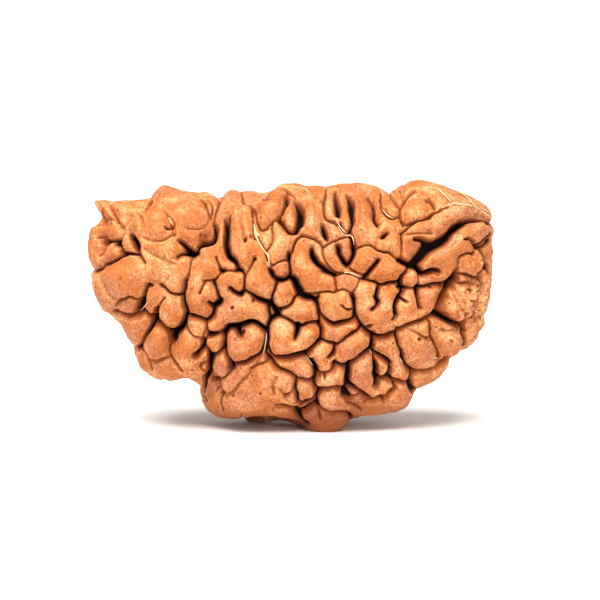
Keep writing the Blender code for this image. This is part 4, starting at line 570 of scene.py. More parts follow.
# Dried cream fibres seen on the face: x, face height and half width in millimetres.
FACE_FIBRES = (
    ((-9.8, 16.8, 0.02), (-9.6, 16.5, 0.06), (-9.45, 16.2, 0.03)),
    ((-2.95, 16.3, 0.03), (-2.88, 15.9, 0.09), (-2.8, 15.4, 0.14), (-2.65, 15.0, 0.08),
     (-2.3, 14.4, 0.06), (-2.0, 14.0, 0.07), (-1.8, 13.7, 0.08), (-1.66, 12.9, 0.03)),
    ((-2.75, 15.7, 0.03), (-2.6, 15.45, 0.07), (-2.45, 15.3, 0.02)),
    ((-1.75, 13.35, 0.02), (-1.85, 13.1, 0.05), (-1.7, 12.8, 0.03)),
    ((2.95, 17.0, 0.02), (3.65, 16.55, 0.04), (3.9, 16.1, 0.05), (4.2, 15.75, 0.05),
     (4.5, 15.5, 0.02)),
    ((3.75, 16.1, 0.02), (4.0, 15.7, 0.045), (4.35, 15.4, 0.05), (4.8, 15.35, 0.05),
     (5.0, 15.0, 0.04), (5.05, 14.6, 0.02)),
    ((2.2, 14.1, 0.03), (2.3, 13.85, 0.06), (2.45, 13.6, 0.03)),
    ((7.3, 17.5, 0.02), (7.7, 17.0, 0.05), (8.15, 16.75, 0.04)),
    ((10.9, 19.2, 0.03), (11.7, 19.15, 0.06), (12.3, 18.6, 0.06), (12.85, 18.05, 0.04)),
    ((13.4, 18.95, 0.03), (14.1, 18.5, 0.05), (14.5, 18.0, 0.06), (14.9, 17.6, 0.06),
     (15.5, 17.2, 0.06), (16.1, 16.7, 0.03)),
    ((12.1, 17.6, 0.03), (12.8, 17.9, 0.06), (13.4, 17.9, 0.07), (14.3, 17.8, 0.06),
     (14.8, 17.65, 0.03)),
    ((15.15, 17.6, 0.03), (15.5, 17.45, 0.05), (15.85, 17.25, 0.03)),
    ((-11.35, 10.15, 0.02), (-11.7, 9.7, 0.05), (-12.05, 9.35, 0.03)),
    ((4.25, 12.4, 0.03), (4.7, 12.4, 0.07), (5.2, 12.2, 0.06), (5.55, 12.05, 0.03)),
    ((1.15, 5.8, 0.02), (1.45, 5.4, 0.045), (1.75, 5.0, 0.02)),
    ((-1.95, 7.6, 0.02), (-2.0, 6.9, 0.05), (-2.2, 5.9, 0.02)),
    ((11.35, 5.6, 0.03), (11.6, 5.6, 0.05), (11.75, 5.5, 0.02)),
    ((8.7, 5.6, 0.02), (8.8, 5.4, 0.05), (8.95, 5.15, 0.02)),
    ((6.3, 6.3, 0.02), (6.35, 6.15, 0.05), (6.45, 5.95, 0.02)),
)


def unit(vectors: Array) -> Array:
    """Rows of vectors brought to length 1."""
    return vectors / np.linalg.norm(vectors, axis=-1, keepdims=True)


def smooth_step(low: float, high: float, values: Array) -> Array:
    """0 below low, 1 above high, and a smooth S between them."""
    t = np.clip((values - low) / (high - low), 0.0, 1.0)
    return t * t * (3.0 - 2.0 * t)


def curved_line(points: tuple, pieces: int = 4, closed: bool = False) -> Array:
    """Catmull-Rom curve through rows of numbers.

    Args:
        points: the rows that the curve passes through.
        pieces: how many steps each span is cut into.
        closed: whether the last row joins the first.

    Returns:
        The rows along the curve.
    """
    knots = np.array(points, dtype=float)
    if closed:
        padded = np.vstack([knots[-1:], knots, knots[:2]])
    else:
        padded = np.vstack([2.0 * knots[0] - knots[1], knots, 2.0 * knots[-1] - knots[-2]])
    before, start, end, after = padded[:-3], padded[1:-2], padded[2:-1], padded[3:]
    t = np.linspace(0.0, 1.0, pieces, endpoint=False)[None, :, None]
    curve = 0.5 * (
        2.0 * start[:, None]
        + (end - before)[:, None] * t
        + (2.0 * before - 5.0 * start + 4.0 * end - after)[:, None] * t**2
        + (3.0 * start - before - 3.0 * end + after)[:, None] * t**3
    )
    curve = curve.reshape(-1, knots.shape[1])
    return curve if closed else np.vstack([curve, knots[-1:]])


def line_distance(u: Array, v: Array, line: Array) -> tuple[Array, Array, Array]:
    """How points of a plane lie to a polyline.

    Args:
        u: first coordinate of the points.
        v: second coordinate, which broadcasts against u.
        line: rows of the polyline, whose first two numbers are its places.

    Returns:
        The distance to the line, its side (+1 on the left) and the share of the line's length.
    """
    shape = np.broadcast_shapes(u.shape, v.shape)
    nearest = np.full(shape, 1e9)
    side = np.ones(shape)
    share = np.zeros(shape)
    spans = len(line) - 1
    for index in range(spans):
        ax, ay = line[index, 0], line[index, 1]
        bx, by = line[index + 1, 0] - ax, line[index + 1, 1] - ay
        t = np.clip(((u - ax) * bx + (v - ay) * by) / (bx * bx + by * by), 0.0, 1.0)
        gap = np.hypot(u - ax - t * bx, v - ay - t * by)
        closer = gap < nearest
        nearest = np.where(closer, gap, nearest)
        side = np.where(closer, np.sign(bx * (v - ay) - by * (u - ax)), side)
        share = np.where(closer, (index + t) / spans, share)
    return nearest, side, share


def rim(gap: Array, reach: Array | float, power: float = 3.0) -> Array:
    """Depth left at a gap from a cleft's foot: (1 - gap / reach) to a power, 0 past the reach."""
    return (1.0 - np.clip(gap / reach, 0.0, 1.0)) ** power


@dataclass(frozen=True)
class Cloud:
    """Smooth random numbers from -1 to 1 in space: a lattice of draws, one every size, blended."""

    size: float
    seed: int
    span: int = 24

    def at(self, points: Array) -> Array:
        """The draws at the eight corners round each point, blended by a smooth S each way.

        Args:
            points: rows of three coordinates, in the unit of size.

        Returns:
            One number for each row.
        """
        draws = np.random.default_rng(self.seed).uniform(-1.0, 1.0, (self.span,) * 3)
        scaled = points / self.size
        cell = np.floor(scaled).astype(int)
        t = scaled - cell
        t = t * t * (3.0 - 2.0 * t)
        total = np.zeros(len(points))
        for corner in range(8):
            step = np.array([corner & 1, corner >> 1 & 1, corner >> 2])
            share = np.where(step, t, 1.0 - t).prod(axis=1)
            place = (cell + step) % self.span
            total += share * draws[place[:, 0], place[:, 1], place[:, 2]]
        return total


@dataclass(frozen=True)
class HalfMoon:
    """The smooth body of the nut: a flattened half moon with its flat chord up."""

    half_depth: float = 6.7
    centre_height: float = 10.2
    roundness: float = 2.45
    edge_detail_reach: float = 0.42
    soft_degrees: float = 16.0
    fine_degrees: float = 1.5
    samples_per_degree: int = 2
    tilt_degrees: float = 8.0
    spread: tuple[float, float, float] = (16.0, 6.7, 9.8)

    @property
    def sight(self) -> Array:
        """Unit vector from the face to whoever reads it, from slightly above."""
        tilt = math.radians(self.tilt_degrees)
        return np.array([0.0, -math.cos(tilt), math.sin(tilt)])

    def outline_radius(self, angles: Array, softness: float) -> Array:
        """Distance from the middle to the outline, averaged over softness degrees each way.

        Args:
            angles: directions in the plane of the face, in radians.
            softness: half the width of the averaging window, in degrees.

        Returns:
            The radius at each angle, in millimetres.
        """
        outline = curved_line(OUTLINE, pieces=8, closed=True)
        up = outline[:, 1] / math.cos(math.radians(self.tilt_degrees)) - self.centre_height
        outline_angles = np.arctan2(up, outline[:, 0])
        order = np.argsort(outline_angles)
        radii = np.hypot(outline[:, 0], up)[order]
        count = 360 * self.samples_per_degree
        samples = np.linspace(-math.pi, math.pi, count, endpoint=False)
        ring = np.interp(samples, outline_angles[order], radii, period=2.0 * math.pi)
        reach = int(softness * self.samples_per_degree)
        window = np.hanning(2 * reach + 3)[1:-1]
        padded = np.concatenate([ring[-reach:], ring, ring[:reach]])
        ring = np.convolve(padded, window / window.sum(), mode="valid")
        return np.interp(angles, samples, ring, period=2.0 * math.pi)

    def points(self, directions: Array, detailed: bool = True) -> Array:
        """The body in each direction from its middle.

        The radius joins the outline's radius r in the plane of the face and the half depth d by
        (across / r)^p + (deep / d)^p = 1. The outline's bumps fade out towards the two faces.

        Args:
            directions: unit rows.
            detailed: whether the outline keeps its small bumps.

        Returns:
            Rows of places in millimetres.
        """
        across = np.hypot(directions[:, 0], directions[:, 2])
        angles = np.arctan2(directions[:, 2], directions[:, 0])
        deep = np.abs(directions[:, 1]) / self.half_depth
        radius = self.outline_radius(angles, self.soft_degrees)
        if detailed:
            bumps = self.outline_radius(angles, self.fine_degrees) - radius
            latitude = np.arctan2(deep, across / radius)
            radius = radius + bumps * np.exp(-((latitude / self.edge_detail_reach) ** 2))
        total = (across / radius) ** self.roundness + deep**self.roundness
        reach = total ** (-1.0 / self.roundness)
        return directions * reach[:, None] + np.array([0.0, 0.0, self.centre_height])

    def normals(self, directions: Array) -> Array:
        """Outward normals of the body without its small bumps, from a step each way.

        Args:
            directions: unit rows.

        Returns:
            Unit rows.
        """
        step = 0.02
        upright = np.array([0.0, 0.0, 1.0])
        level = np.array([1.0, 0.0, 0.0])
        helper = np.where(np.abs(directions[:, 2:3]) < 0.9, upright, level)
        first = unit(np.cross(helper, directions)) * step
        second = unit(np.cross(directions, first)) * step
        ends = [
            self.points(unit(directions + move), False) for move in (first, -first, second, -second)
        ]
        return unit(np.cross(ends[0] - ends[1], ends[2] - ends[3]))

    def face_places(self, points: Array) -> tuple[Array, Array]:
        """Places across and up the face, as it is seen from slightly above the front."""
        tilt = math.radians(self.tilt_degrees)
        return points[:, 0], points[:, 2] * math.cos(tilt) + points[:, 1] * math.sin(tilt)


@dataclass
class FaceRelief:
    """The listed clefts, pits and tones of the face, drawn once on a fine flat grid.

    The counted pits are spread at random over the rough wall at the right end. A softened depth
    tells how far the skin lies back on average, and another one where its walls lean.
    """

    low: tuple[float, float] = (-17.8, -1.8)
    high: tuple[float, float] = (17.8, 21.6)
    cell: float = 0.04
    deepest: float = 1.5
    doming_reach: float = 1.5
    line_margin: float = 0.6
    taper_ends: float = 0.35
    taper_slope: float = 4.0
    pull: float = 0.018
    wall_softening: int = 2
    mean_softening: int = 150
    pit_count: int = 45
    pit_seed: int = 3
    pit_middle: tuple[float, float] = (14.3, 9.8)
    pit_spread: tuple[float, float] = (1.0, 2.4)
    pit_radii: tuple[float, float] = (0.04, 0.11)
    pit_softness: float = 1.3
    pit_margin: float = 0.8
    pit_depth: float = 0.35
    # Share of each pit that is painted dark, as painted shade in the pit.
    pit_painted_shade: float = 0.7
    u: Array = field(init=False)
    v: Array = field(init=False)
    depth: Array = field(init=False)
    mean_depth: Array = field(init=False)
    foot: Array = field(init=False)
    tone: Array = field(init=False)
    pull_u: Array = field(init=False)
    pull_v: Array = field(init=False)

    def __post_init__(self) -> None:
        """Draws every field of the face."""
        self.u = np.arange(self.low[0], self.high[0], self.cell)
        self.v = np.arange(self.low[1], self.high[1], self.cell)
        self.depth, self.foot = self.draw_clefts()
        self.tone = self.draw_tones()
        self.mean_depth = self.soften(self.depth, self.mean_softening)
        walls = self.soften(self.depth, self.wall_softening)
        slope_u, slope_v = np.gradient(walls, self.cell)
        self.pull_u, self.pull_v = self.pull * slope_u, self.pull * slope_v

    def window(self, low: Array, high: Array) -> tuple[slice, slice]:
        """The part of the grid between two corners.

        Args:
            low: the corner with the lower numbers.
            high: the other one.

        Returns:
            The spans of columns and of rows.
        """
        first = np.searchsorted(self.u, (low[0], high[0]))
        second = np.searchsorted(self.v, (low[1], high[1]))
        return slice(*first), slice(*second)

    def draw_clefts(self) -> tuple[Array, Array]:
        """Draws all lines and pits. Crossing clefts blend by their fourth powers.

        Returns:
            The depth share, and the share of the narrow feet alone, which are painted dark as shade.
        """
        total = np.zeros((self.u.size, self.v.size))
        foot = np.zeros((self.u.size, self.v.size))
        for kind, lines in LINES.items():
            for row in lines:
                self.cut(total, foot, curved_line(row), CUTS[kind])
        chance = np.random.default_rng(self.pit_seed)
        places = chance.normal(self.pit_middle, self.pit_spread, (self.pit_count, 2))
        radii = chance.uniform(*self.pit_radii, (self.pit_count, 1))
        for x, height, radius in [*PITS, *np.hstack([places, radii]).tolist()]:
            middle = np.array((x, height))
            area = self.window(middle - self.pit_margin, middle + self.pit_margin)
            across, up = (self.u[area[0]] - x)[:, None], (self.v[area[1]] - height)[None]
            bell = np.exp(-(across**2 + up**2) / (self.pit_softness * radius) ** 2)
            total[area] += (self.pit_depth * bell) ** 4
            # Pits add painted shade to the foot grid.
            foot[area] += (self.pit_painted_shade * bell) ** 4
        return np.minimum(total**0.25, self.deepest), np.minimum(foot**0.25, self.deepest)

    def cut(self, total: Array, foot: Array, line: Array, cut: Cut) -> None:
        """Adds one line's depth to the fourth power.

        The depth falls from the foot of the cleft as a cube of the gap, steep and narrow. A share
        of it, the doming, falls as a square over a longer reach, and rounds the lobe.

        Args:
            total: the grid that the depth is added to.
            foot: the grid that the narrow part alone is added to, as far as it is painted dark as
                shade.
            line: rows along the line.
            cut: its cross-section.
        """
        margin = max(cut.left_reach, cut.right_reach, self.doming_reach) + self.line_margin
        low, high = line.min(axis=0) - margin, line.max(axis=0) + margin
        area = self.window(low, high)
        gap, side, share = line_distance(self.u[area[0], None], self.v[None, area[1]], line)
        width = np.full(gap.shape, cut.half_width)
        if line.shape[1] > 2:
            width = np.interp(share, np.linspace(0.0, 1.0, len(line)), line[:, 2])
        away = np.maximum(gap - width, 0.0)
        narrow = rim(away, np.where(side > 0.0, cut.left_reach, cut.right_reach))
        broad = rim(away, self.doming_reach, 2.0)
        depth = np.full(gap.shape, cut.depth)
        if cut.tapered:
            from_end = np.minimum(share, 1.0 - share)
            depth *= np.clip(self.taper_slope * from_end + self.taper_ends, 0.0, 1.0)
        total[area] += (depth * ((1.0 - cut.doming) * narrow + cut.doming * broad)) ** 4
        # The foot grid is painted shade: brown on the cleft walls and near black at the bottom.
        foot[area] += (depth * cut.painted_shade * narrow) ** 4

    def draw_tones(self) -> Array:
        """Sums the bell-shaped zones.

        Returns:
            The tone in each cell, paler above 0 and browner below it, partly as painted shade.
        """
        total = np.zeros((self.u.size, self.v.size))
        for x, height, across, up, amount in TONES:
            bell_u = np.exp(-(((self.u - x) / across) ** 2))
            bell_v = np.exp(-(((self.v - height) / up) ** 2))
            total += amount * bell_u[:, None] * bell_v[None]
        return total

    def soften(self, grid: Array, times: int) -> Array:
        """Averages each cell with its neighbours, one way and then the other.

        Args:
            grid: the numbers of the cells.
            times: how often.

        Returns:
            The softened grid.
        """
        for _ in range(times):
            grid = 0.25 * (np.roll(grid, 1, 0) + np.roll(grid, -1, 0)) + 0.5 * grid
            grid = 0.25 * (np.roll(grid, 1, 1) + np.roll(grid, -1, 1)) + 0.5 * grid
        return grid

    def read(self, grid: Array, u: Array, v: Array) -> Array:
        """Reads a grid between its cells, by the shares of the four cells round each place.

        Args:
            grid: the numbers of the cells.
            u: places across the face.
            v: places up the face.

        Returns:
            One number for each place.
        """
        across = np.clip((u - self.low[0]) / self.cell, 0.0, self.u.size - 1.001)
        up = np.clip((v - self.low[1]) / self.cell, 0.0, self.v.size - 1.001)
        i, j = across.astype(int), up.astype(int)
        s, t = across - i, up - j
        low = grid[i, j] * (1.0 - t) + grid[i, j + 1] * t
        high = grid[i + 1, j] * (1.0 - t) + grid[i + 1, j + 1] * t
        return low * (1.0 - s) + high * s


@dataclass
class GrownLobes:
    """Lobes that a seeded rule spreads over the body where the face doesn't reach.

    Their middles lie on a golden spiral, moved a little at random. Each lobe is a short stroke
    along the skin, upright near the crest and at any angle lower down.
    """

    moon: HalfMoon
    count: int = 175
    seed: int = 41
    scatter: float = 0.07
    half_length: tuple[float, float] = (0.2, 1.05)
    fatness: float = 0.35
    crest_height: float = 14.0
    crest_lean: float = 0.35
    free_lean: float = 1.5
    foot_half_width: float = 0.05
    reach: float = 0.62
    doming: float = 0.4
    doming_reach: float = 1.5
    least_depth: float = 0.6
    deepest: float = 1.15
    corner_depth: float = 0.35
    corner_reach: float = 0.45
    least_spread: float = 0.4
    pull: float = 0.07
    pull_gap: float = 0.15
    rows_at_once: int = 8000
    middles: Array = field(init=False)
    strokes: Array = field(init=False)
    fat: Array = field(init=False)

    def __post_init__(self) -> None:
        """Works out each lobe's middle and half stroke, in single precision, and its fatness."""
        chance = np.random.default_rng(self.seed)
        index = np.arange(self.count) + 0.5
        height = 1.0 - 2.0 * index / self.count
        turn = math.pi * (1.0 + math.sqrt(5.0)) * index
        ring = np.sqrt(1.0 - height**2)
        sphere = np.stack([ring * np.cos(turn), ring * np.sin(turn), height], axis=1)
        sphere = unit(sphere + chance.normal(0.0, self.scatter, sphere.shape))
        directions = unit(sphere * np.array(self.moon.spread))
        middles = self.moon.points(directions)
        normals = self.moon.normals(directions)
        upright = unit(np.array([0.0, 0.0, 1.0]) - normals * normals[:, 2:3] + 1e-6)
        sideways = np.cross(normals, upright)
        lean = np.where(middles[:, 2] > self.crest_height, self.crest_lean, self.free_lean)
        angle = chance.uniform(-1.0, 1.0, self.count) * lean
        along = upright * np.cos(angle)[:, None] + sideways * np.sin(angle)[:, None]
        strokes = along * chance.uniform(*self.half_length, self.count)[:, None]
        self.fat = chance.uniform(0.0, self.fatness, self.count)
        self.middles, self.strokes = middles.astype(np.float32), strokes.astype(np.float32)

    def wobbled(self, points: Array) -> Array:
        """Moves places by two waves that run across each other, which bends the lobes' borders.

        Args:
            points: rows of places.

        Returns:
            The moved rows.
        """
        slow = 0.3 * np.sin(points[:, [1, 2, 0]] * 1.7 + 0.6)
        quick = 0.2 * np.sin(points[:, [2, 0, 1]] * 2.9)
        return points + (slow + quick)

    def borders(self, places: Array) -> tuple[Array, Array, Array, Array]:
        """How places lie to the borders between the strokes that are nearest to them.

        The difference of the distances to the nearest and the second nearest stroke, over how
        fast it changes, is the gap from the border between the two.

        Args:
            places: rows in single precision.

        Returns:
            The gap from the border, the gap from the corner with a third lobe, rows that lead to
            the border, and the number of each place's own lobe.
        """
        square = np.maximum((self.strokes**2).sum(axis=1), 1e-9)
        part = places[:, None, :] - self.middles[None]
        t = np.clip((part * self.strokes).sum(axis=2) / square, -1.0, 1.0)
        away = part - t[..., None] * self.strokes
        far = np.sqrt((away**2).sum(axis=2))
        gaps = far - self.fat
        order = np.argpartition(gaps, 3, axis=1)[:, :3]
        ranked = np.take_along_axis(gaps, order, axis=1)
        order = np.take_along_axis(order, np.argsort(ranked, axis=1), axis=1)
        first, second, third = np.take_along_axis(gaps, order, axis=1).T
        own, other = order[:, 0], order[:, 1]
        row = np.arange(len(own))
        towards = away[row, own] / far[row, own, None] - away[row, other] / far[row, other, None]
        spread = np.maximum(np.linalg.norm(towards, axis=1), self.least_spread)
        return (second - first) / spread, 0.5 * (third - first), towards, own

    def clefts(self, points: Array) -> tuple[Array, Array, Array]:
        """Clefts between the lobes.

        A cleft has its foot on the border between two lobes, and its depth goes by the number of
        the lobe. It is deeper where three lobes meet.

        Args:
            points: rows of places on the smooth body.

        Returns:
            The depth share and the share of the foot alone at each place, and rows that pull it
            towards the border.
        """
        moved = self.wobbled(points).astype(np.float32)
        depth = np.zeros(len(points))
        foot = np.zeros(len(points))
        pull = np.zeros(points.shape)
        for start in range(0, len(points), self.rows_at_once):
            part = slice(start, start + self.rows_at_once)
            border, corner, towards, own = self.borders(moved[part])
            deep = self.least_depth + (1.0 - self.least_depth) * ((own * 7) % 10) / 9.0
            gap = np.maximum(border - self.foot_half_width, 0.0)
            narrow = rim(gap, self.reach)
            broad = rim(gap, self.doming_reach, 2.0)
            wall = (1.0 - self.doming) * narrow + self.doming * broad
            knot = self.corner_depth * np.exp(-((corner / self.corner_reach) ** 2))
            depth[part] = deep * wall + knot
            foot[part] = deep * narrow + knot
            share = np.clip(4.0 * narrow * (1.0 - narrow), 0.0, 1.0)
            share *= smooth_step(0.0, self.pull_gap, border)
            pull[part] = self.pull * share[:, None] * towards
        return np.minimum(depth, self.deepest), np.minimum(foot, self.deepest), pull


@dataclass(frozen=True)
class CellNet:
    """A net of fine creases between cells of about a size."""

    size: float
    seed: int
    span: int = 20
    reach: float = 0.3

    def at(self, points: Array) -> Array:
        """1 in a crease and 0 in a cell.

        Each cell of a lattice holds one point at random. A place looks among the 27 cells round
        it for the two nearest, and lies in a crease where they are equally far.

        Args:
            points: rows of three coordinates, in the unit of size.

        Returns:
            One number for each row.
        """
        draws = np.random.default_rng(self.seed).uniform(0.0, 1.0, (self.span,) * 3 + (3,))
        scaled = points / self.size
        cell = np.floor(scaled).astype(int)
        first = np.full(len(points), 9.0)
        second = np.full(len(points), 9.0)
        for index in range(27):
            step = np.array([index % 3, index // 3 % 3, index // 9]) - 1
            place = (cell + step) % self.span
            seedling = cell + step + draws[place[:, 0], place[:, 1], place[:, 2]]
            far = np.linalg.norm(scaled - seedling, axis=1)
            second = np.where(far < first, first, np.minimum(second, far))
            first = np.minimum(first, far)
        return rim(0.5 * self.size * (second - first), self.reach, 2.0)


@dataclass
class BoxLattice:
    """Directions of a closed skin: six square grids over a box that share their borders.

    Each grid's lines are the tangents of equal angles, which spaces them evenly on a ball.
    """

    spread: tuple[float, float, float]
    counts: tuple[int, int, int] = (420, 170, 260)

    def build(self) -> tuple[Array, Array]:
        """Numbers each lattice point of the box's surface once.

        Returns:
            Unit directions, and rows of four point numbers, one for each outward quad.
        """
        sizes = np.array(self.counts) + 1
        sides = []
        for axis in range(3):
            first, second = (axis + 1) % 3, (axis + 2) % 3
            for end in (0, self.counts[axis]):
                place = np.empty((sizes[first], sizes[second], 3), dtype=int)
                place[..., axis] = end
                place[..., first] = np.arange(sizes[first])[:, None]
                place[..., second] = np.arange(sizes[second])[None]
                key = (place[..., 0] * sizes[1] + place[..., 1]) * sizes[2] + place[..., 2]
                corners = [key[:-1, :-1], key[1:, :-1], key[1:, 1:], key[:-1, 1:]]
                if end == 0:
                    corners.reverse()
                sides.append(np.stack(corners, axis=-1).reshape(-1, 4))
        keys, quads = np.unique(np.concatenate(sides), return_inverse=True)
        lattice = np.stack(np.unravel_index(keys, sizes), axis=1)
        angles = (lattice / np.array(self.counts) - 0.5) * (0.5 * math.pi)
        return unit(np.tan(angles) * np.array(self.spread)), quads.reshape(-1, 4)


class Sock:
    """An output of a shader node, on which Python's arithmetic adds Math nodes."""

    def __init__(self, graph: "Graph", socket: bpy.types.NodeSocket) -> None:
        """Wraps one output socket."""
        self.graph, self.socket = graph, socket

    def __add__(self, other: "Sock | float") -> "Sock":
        """This value plus another."""
        return self.graph.math("ADD", self, other)

    def __sub__(self, other: "Sock | float") -> "Sock":
        """This value less another."""
        return self.graph.math("SUBTRACT", self, other)

    def __rsub__(self, other: float) -> "Sock":
        """A number less this value."""
        return self.graph.math("SUBTRACT", other, self)

    def __mul__(self, other: "Sock | float") -> "Sock":
        """This value times another."""
        return self.graph.math("MULTIPLY", self, other)

    __radd__ = __add__
    __rmul__ = __mul__


class Graph:
    """The shader nodes of one material."""

    def __init__(self, name: str) -> None:
        """Makes an empty material with an output and a Principled shader.

        Args:
            name: the material's name.
        """
        self.material = bpy.data.materials.new(name)
        self.material.use_nodes = True
        self.nodes = self.material.node_tree.nodes
        self.links = self.material.node_tree.links
        self.shader = self.nodes["Principled BSDF"]

    def add(self, kind: str, settings: dict, sockets: dict, output: str | int = 0) -> Sock:
        """Adds a node.

        Args:
            kind: Blender's name for the node's type.
            settings: its own settings, set first.
            sockets: a number, colour or Sock for each input, by name or place.
            output: the output that is wanted.

        Returns:
            That output.
        """
        node = self.nodes.new(kind)
        for key, value in settings.items():
            setattr(node, key, value)
        for key, value in sockets.items():
            self.feed(node.inputs[key], value)
        return Sock(self, node.outputs[output])

    def feed(self, target: bpy.types.NodeSocket, value: "Sock | float | tuple") -> None:
        """Links a Sock to an input, or sets the input's own value.

        Args:
            target: the input.
            value: what it gets.
        """
        if isinstance(value, Sock):
            self.links.new(value.socket, target)
        else:
            target.default_value = value

    def math(self, operation: str, first: "Sock | float", second: "Sock | float") -> Sock:
        """A Math node on two values."""
        return self.add("ShaderNodeMath", {"operation": operation}, {0: first, 1: second})

    def step(self, value: Sock, low: float, high: float) -> Sock:
        """0 below low, 1 above high and a smooth S between them."""
        sockets = {"Value": value, "From Min": low, "From Max": high}
        return self.add("ShaderNodeMapRange", {"interpolation_type": "SMOOTHSTEP"}, sockets)

    def noise(self, place: Sock, size: float, detail: float, roughness: float = 0.5) -> Sock:
        """Cloudy numbers from 0 to 1.

        Args:
            place: where the noise is read.
            size: how far its lumps are apart, in millimetres.
            detail: how many finer layers it has.
            roughness: how strong they are.

        Returns:
            The noise.
        """
        sockets = {
            "Vector": place, "Scale": 1.0 / (size * MM), "Detail": detail, "Roughness": roughness,
        }
        return self.add("ShaderNodeTexNoise", {}, sockets)

    def mix(self, share: "Sock | float", first: "Sock | Colour", second: "Sock | Colour") -> Sock:
        """The first colour where share is 0, and the second where it is 1."""
        return self.add("ShaderNodeMix", {"data_type": "RGBA"}, {0: share, 6: first, 7: second}, 2)

    def attribute(self, name: str) -> Sock:
        """A number stored on the mesh."""
        return self.add("ShaderNodeAttribute", {"attribute_name": name}, {}, "Fac")


@dataclass(frozen=True)
class NutStone:
    """Dry, dull nut stone: orange-brown lobes with pale and rosy clouds, painted shade in the clefts,
    pits and some hollows, and pale rims that are painted highlight and partly wear.
    """

    warm: Colour = (0.44, 0.132, 0.030, 1.0)
    # Pale is the pale clouds, and also the painted highlight on the rims.
    pale: Colour = (0.65, 0.305, 0.130, 1.0)
    rosy: Colour = (0.50, 0.192, 0.095, 1.0)
    # Brown is for grain and cracks, and also the painted shade in clefts and browner zones.
    brown: Colour = (0.20, 0.046, 0.010, 1.0)
    # Wall and black are painted shade: brown on the cleft walls, near black at their feet.
    wall: Colour = (0.17, 0.032, 0.006, 1.0)
    black: Colour = (0.014, 0.003, 0.001, 1.0)
    speck: Colour = (0.07, 0.018, 0.006, 1.0)
    residue: Colour = (0.30, 0.19, 0.10, 1.0)
    roughness: float = 0.55
    grain_height: float = 0.07

    def material(self) -> bpy.types.Material:
        """Builds the shader from the numbers stored on the mesh and from clouds in space.

        Returns:
            The finished material.
        """
        graph = Graph("nut_stone")
        place = graph.add("ShaderNodeTexCoord", {}, {}, "Object")
        cleft, foot, tone = (graph.attribute(name) for name in ("cleft", "foot", "tone"))
        broad = graph.noise(place, 5.0, 2.0)
        lump = graph.noise(place, 1.3, 3.0)
        blush = graph.noise(place, 3.1, 3.0)
        grain = graph.noise(place, 0.24, 3.0, 0.6)
        freckle = graph.noise(place, 0.42, 2.0)
        fine = graph.noise(place, 0.12, 2.0)
        vein = graph.math("ABSOLUTE", graph.noise(place, 1.0, 4.0, 0.6) - 0.5, 0.0)
        crack = graph.step(vein, 0.014, 0.0) * graph.step(blush, 0.5, 0.6)

        # Edge is the cleft foot with ragged borders, painted as shade by the wall and black layers.
        edge = foot + (grain + lump) * 0.2 + (graph.noise(place, 2.0, 1.0) - 0.5) * 0.5 - 0.2
        # Pale rims just off the cleft feet: a painted highlight on the lobes' edges, partly wear.
        wear_and_rim_highlight = graph.step(foot, 0.01, 0.07) * graph.step(foot, 0.24, 0.1)
        dust = graph.step(graph.noise(place, 1.7, 3.0), 0.62, 0.72) * graph.step(foot, 0.7, 0.9)
        pale_share = graph.step(broad * 0.5 + lump * 0.7 + tone * 0.35, 0.54, 0.78)
        colour = graph.mix(pale_share, self.warm, self.pale)
        layers = (
            (graph.step(blush, 0.5, 0.66) * 0.6, self.rosy),
            # Painted shade: browner the deeper the cleft.
            (graph.step(cleft, 0.25, 0.8) * 0.35, self.brown),
            # Painted highlight on the rims, partly wear.
            (wear_and_rim_highlight * 0.65, self.pale),
            # Browner zones, partly painted shade low on the belly, in hollows and under overhangs.
            (graph.step(0.0 - tone, 0.05, 0.8) * 0.8, self.brown),
            (graph.step(grain, 0.60, 0.38) * 0.5, self.brown),
            (graph.step(fine, 0.56, 0.36) * 0.3, self.brown),
            (crack * 0.6, self.brown),
            (graph.step(freckle, 0.64, 0.74) * 0.6, self.speck),
            # Painted shade in the clefts: brown on the walls and near black at the feet.
            (graph.step(edge, 0.18, 0.55) * 0.8, self.wall),
            (graph.step(edge, 0.55, 0.85), self.black),
            (dust * 0.3, self.residue),
        )
        for share, tint in layers:
            colour = graph.mix(share, colour, tint)

        wrinkle = graph.noise(place, 0.6, 3.0, 0.65)
        height = grain * 0.6 + fine * 0.35 + wrinkle * 1.2 - crack * 0.4
        bump_sockets = {"Strength": 0.9, "Distance": self.grain_height * MM, "Height": height}
        graph.feed(graph.shader.inputs["Base Color"], colour)
        dullness = graph.step(foot, 0.2, 0.6) * 0.4 + grain * 0.2 + (self.roughness - 0.1)
        graph.feed(graph.shader.inputs["Roughness"], dullness)
        graph.feed(graph.shader.inputs["Normal"], graph.add("ShaderNodeBump", {}, bump_sockets))
        graph.shader.inputs["Specular IOR Level"].default_value = 0.2
        return graph.material


@dataclass(frozen=True)
class DriedFibre:
    """Cream, matte plant fibre, a little browner in places."""

    cream: Colour = (0.60, 0.41, 0.23, 1.0)
    straw: Colour = (0.45, 0.24, 0.11, 1.0)

    def material(self) -> bpy.types.Material:
        """Mixes cream with straw-coloured stretches.

        Returns:
            The finished material.
        """
        graph = Graph("dried_fibre")
        place = graph.add("ShaderNodeTexCoord", {}, {}, "Object")
        shade = graph.step(graph.noise(place, 0.5, 3.0), 0.4, 0.7)
        graph.feed(graph.shader.inputs["Base Color"], graph.mix(shade, self.cream, self.straw))
        graph.shader.inputs["Roughness"].default_value = 0.7
        return graph.material


def new_mesh(name: str, points: Array, faces: list[list[int]]) -> bpy.types.Mesh:
    """A smooth-shaded mesh.

    Args:
        name: its name.
        points: rows of places in metres.
        faces: rows of point numbers.

    Returns:
        The mesh.
    """
    mesh = bpy.data.meshes.new(name)
    mesh.from_pydata(points.tolist(), [], faces)
    mesh.update()
    mesh.shade_smooth()
    return mesh


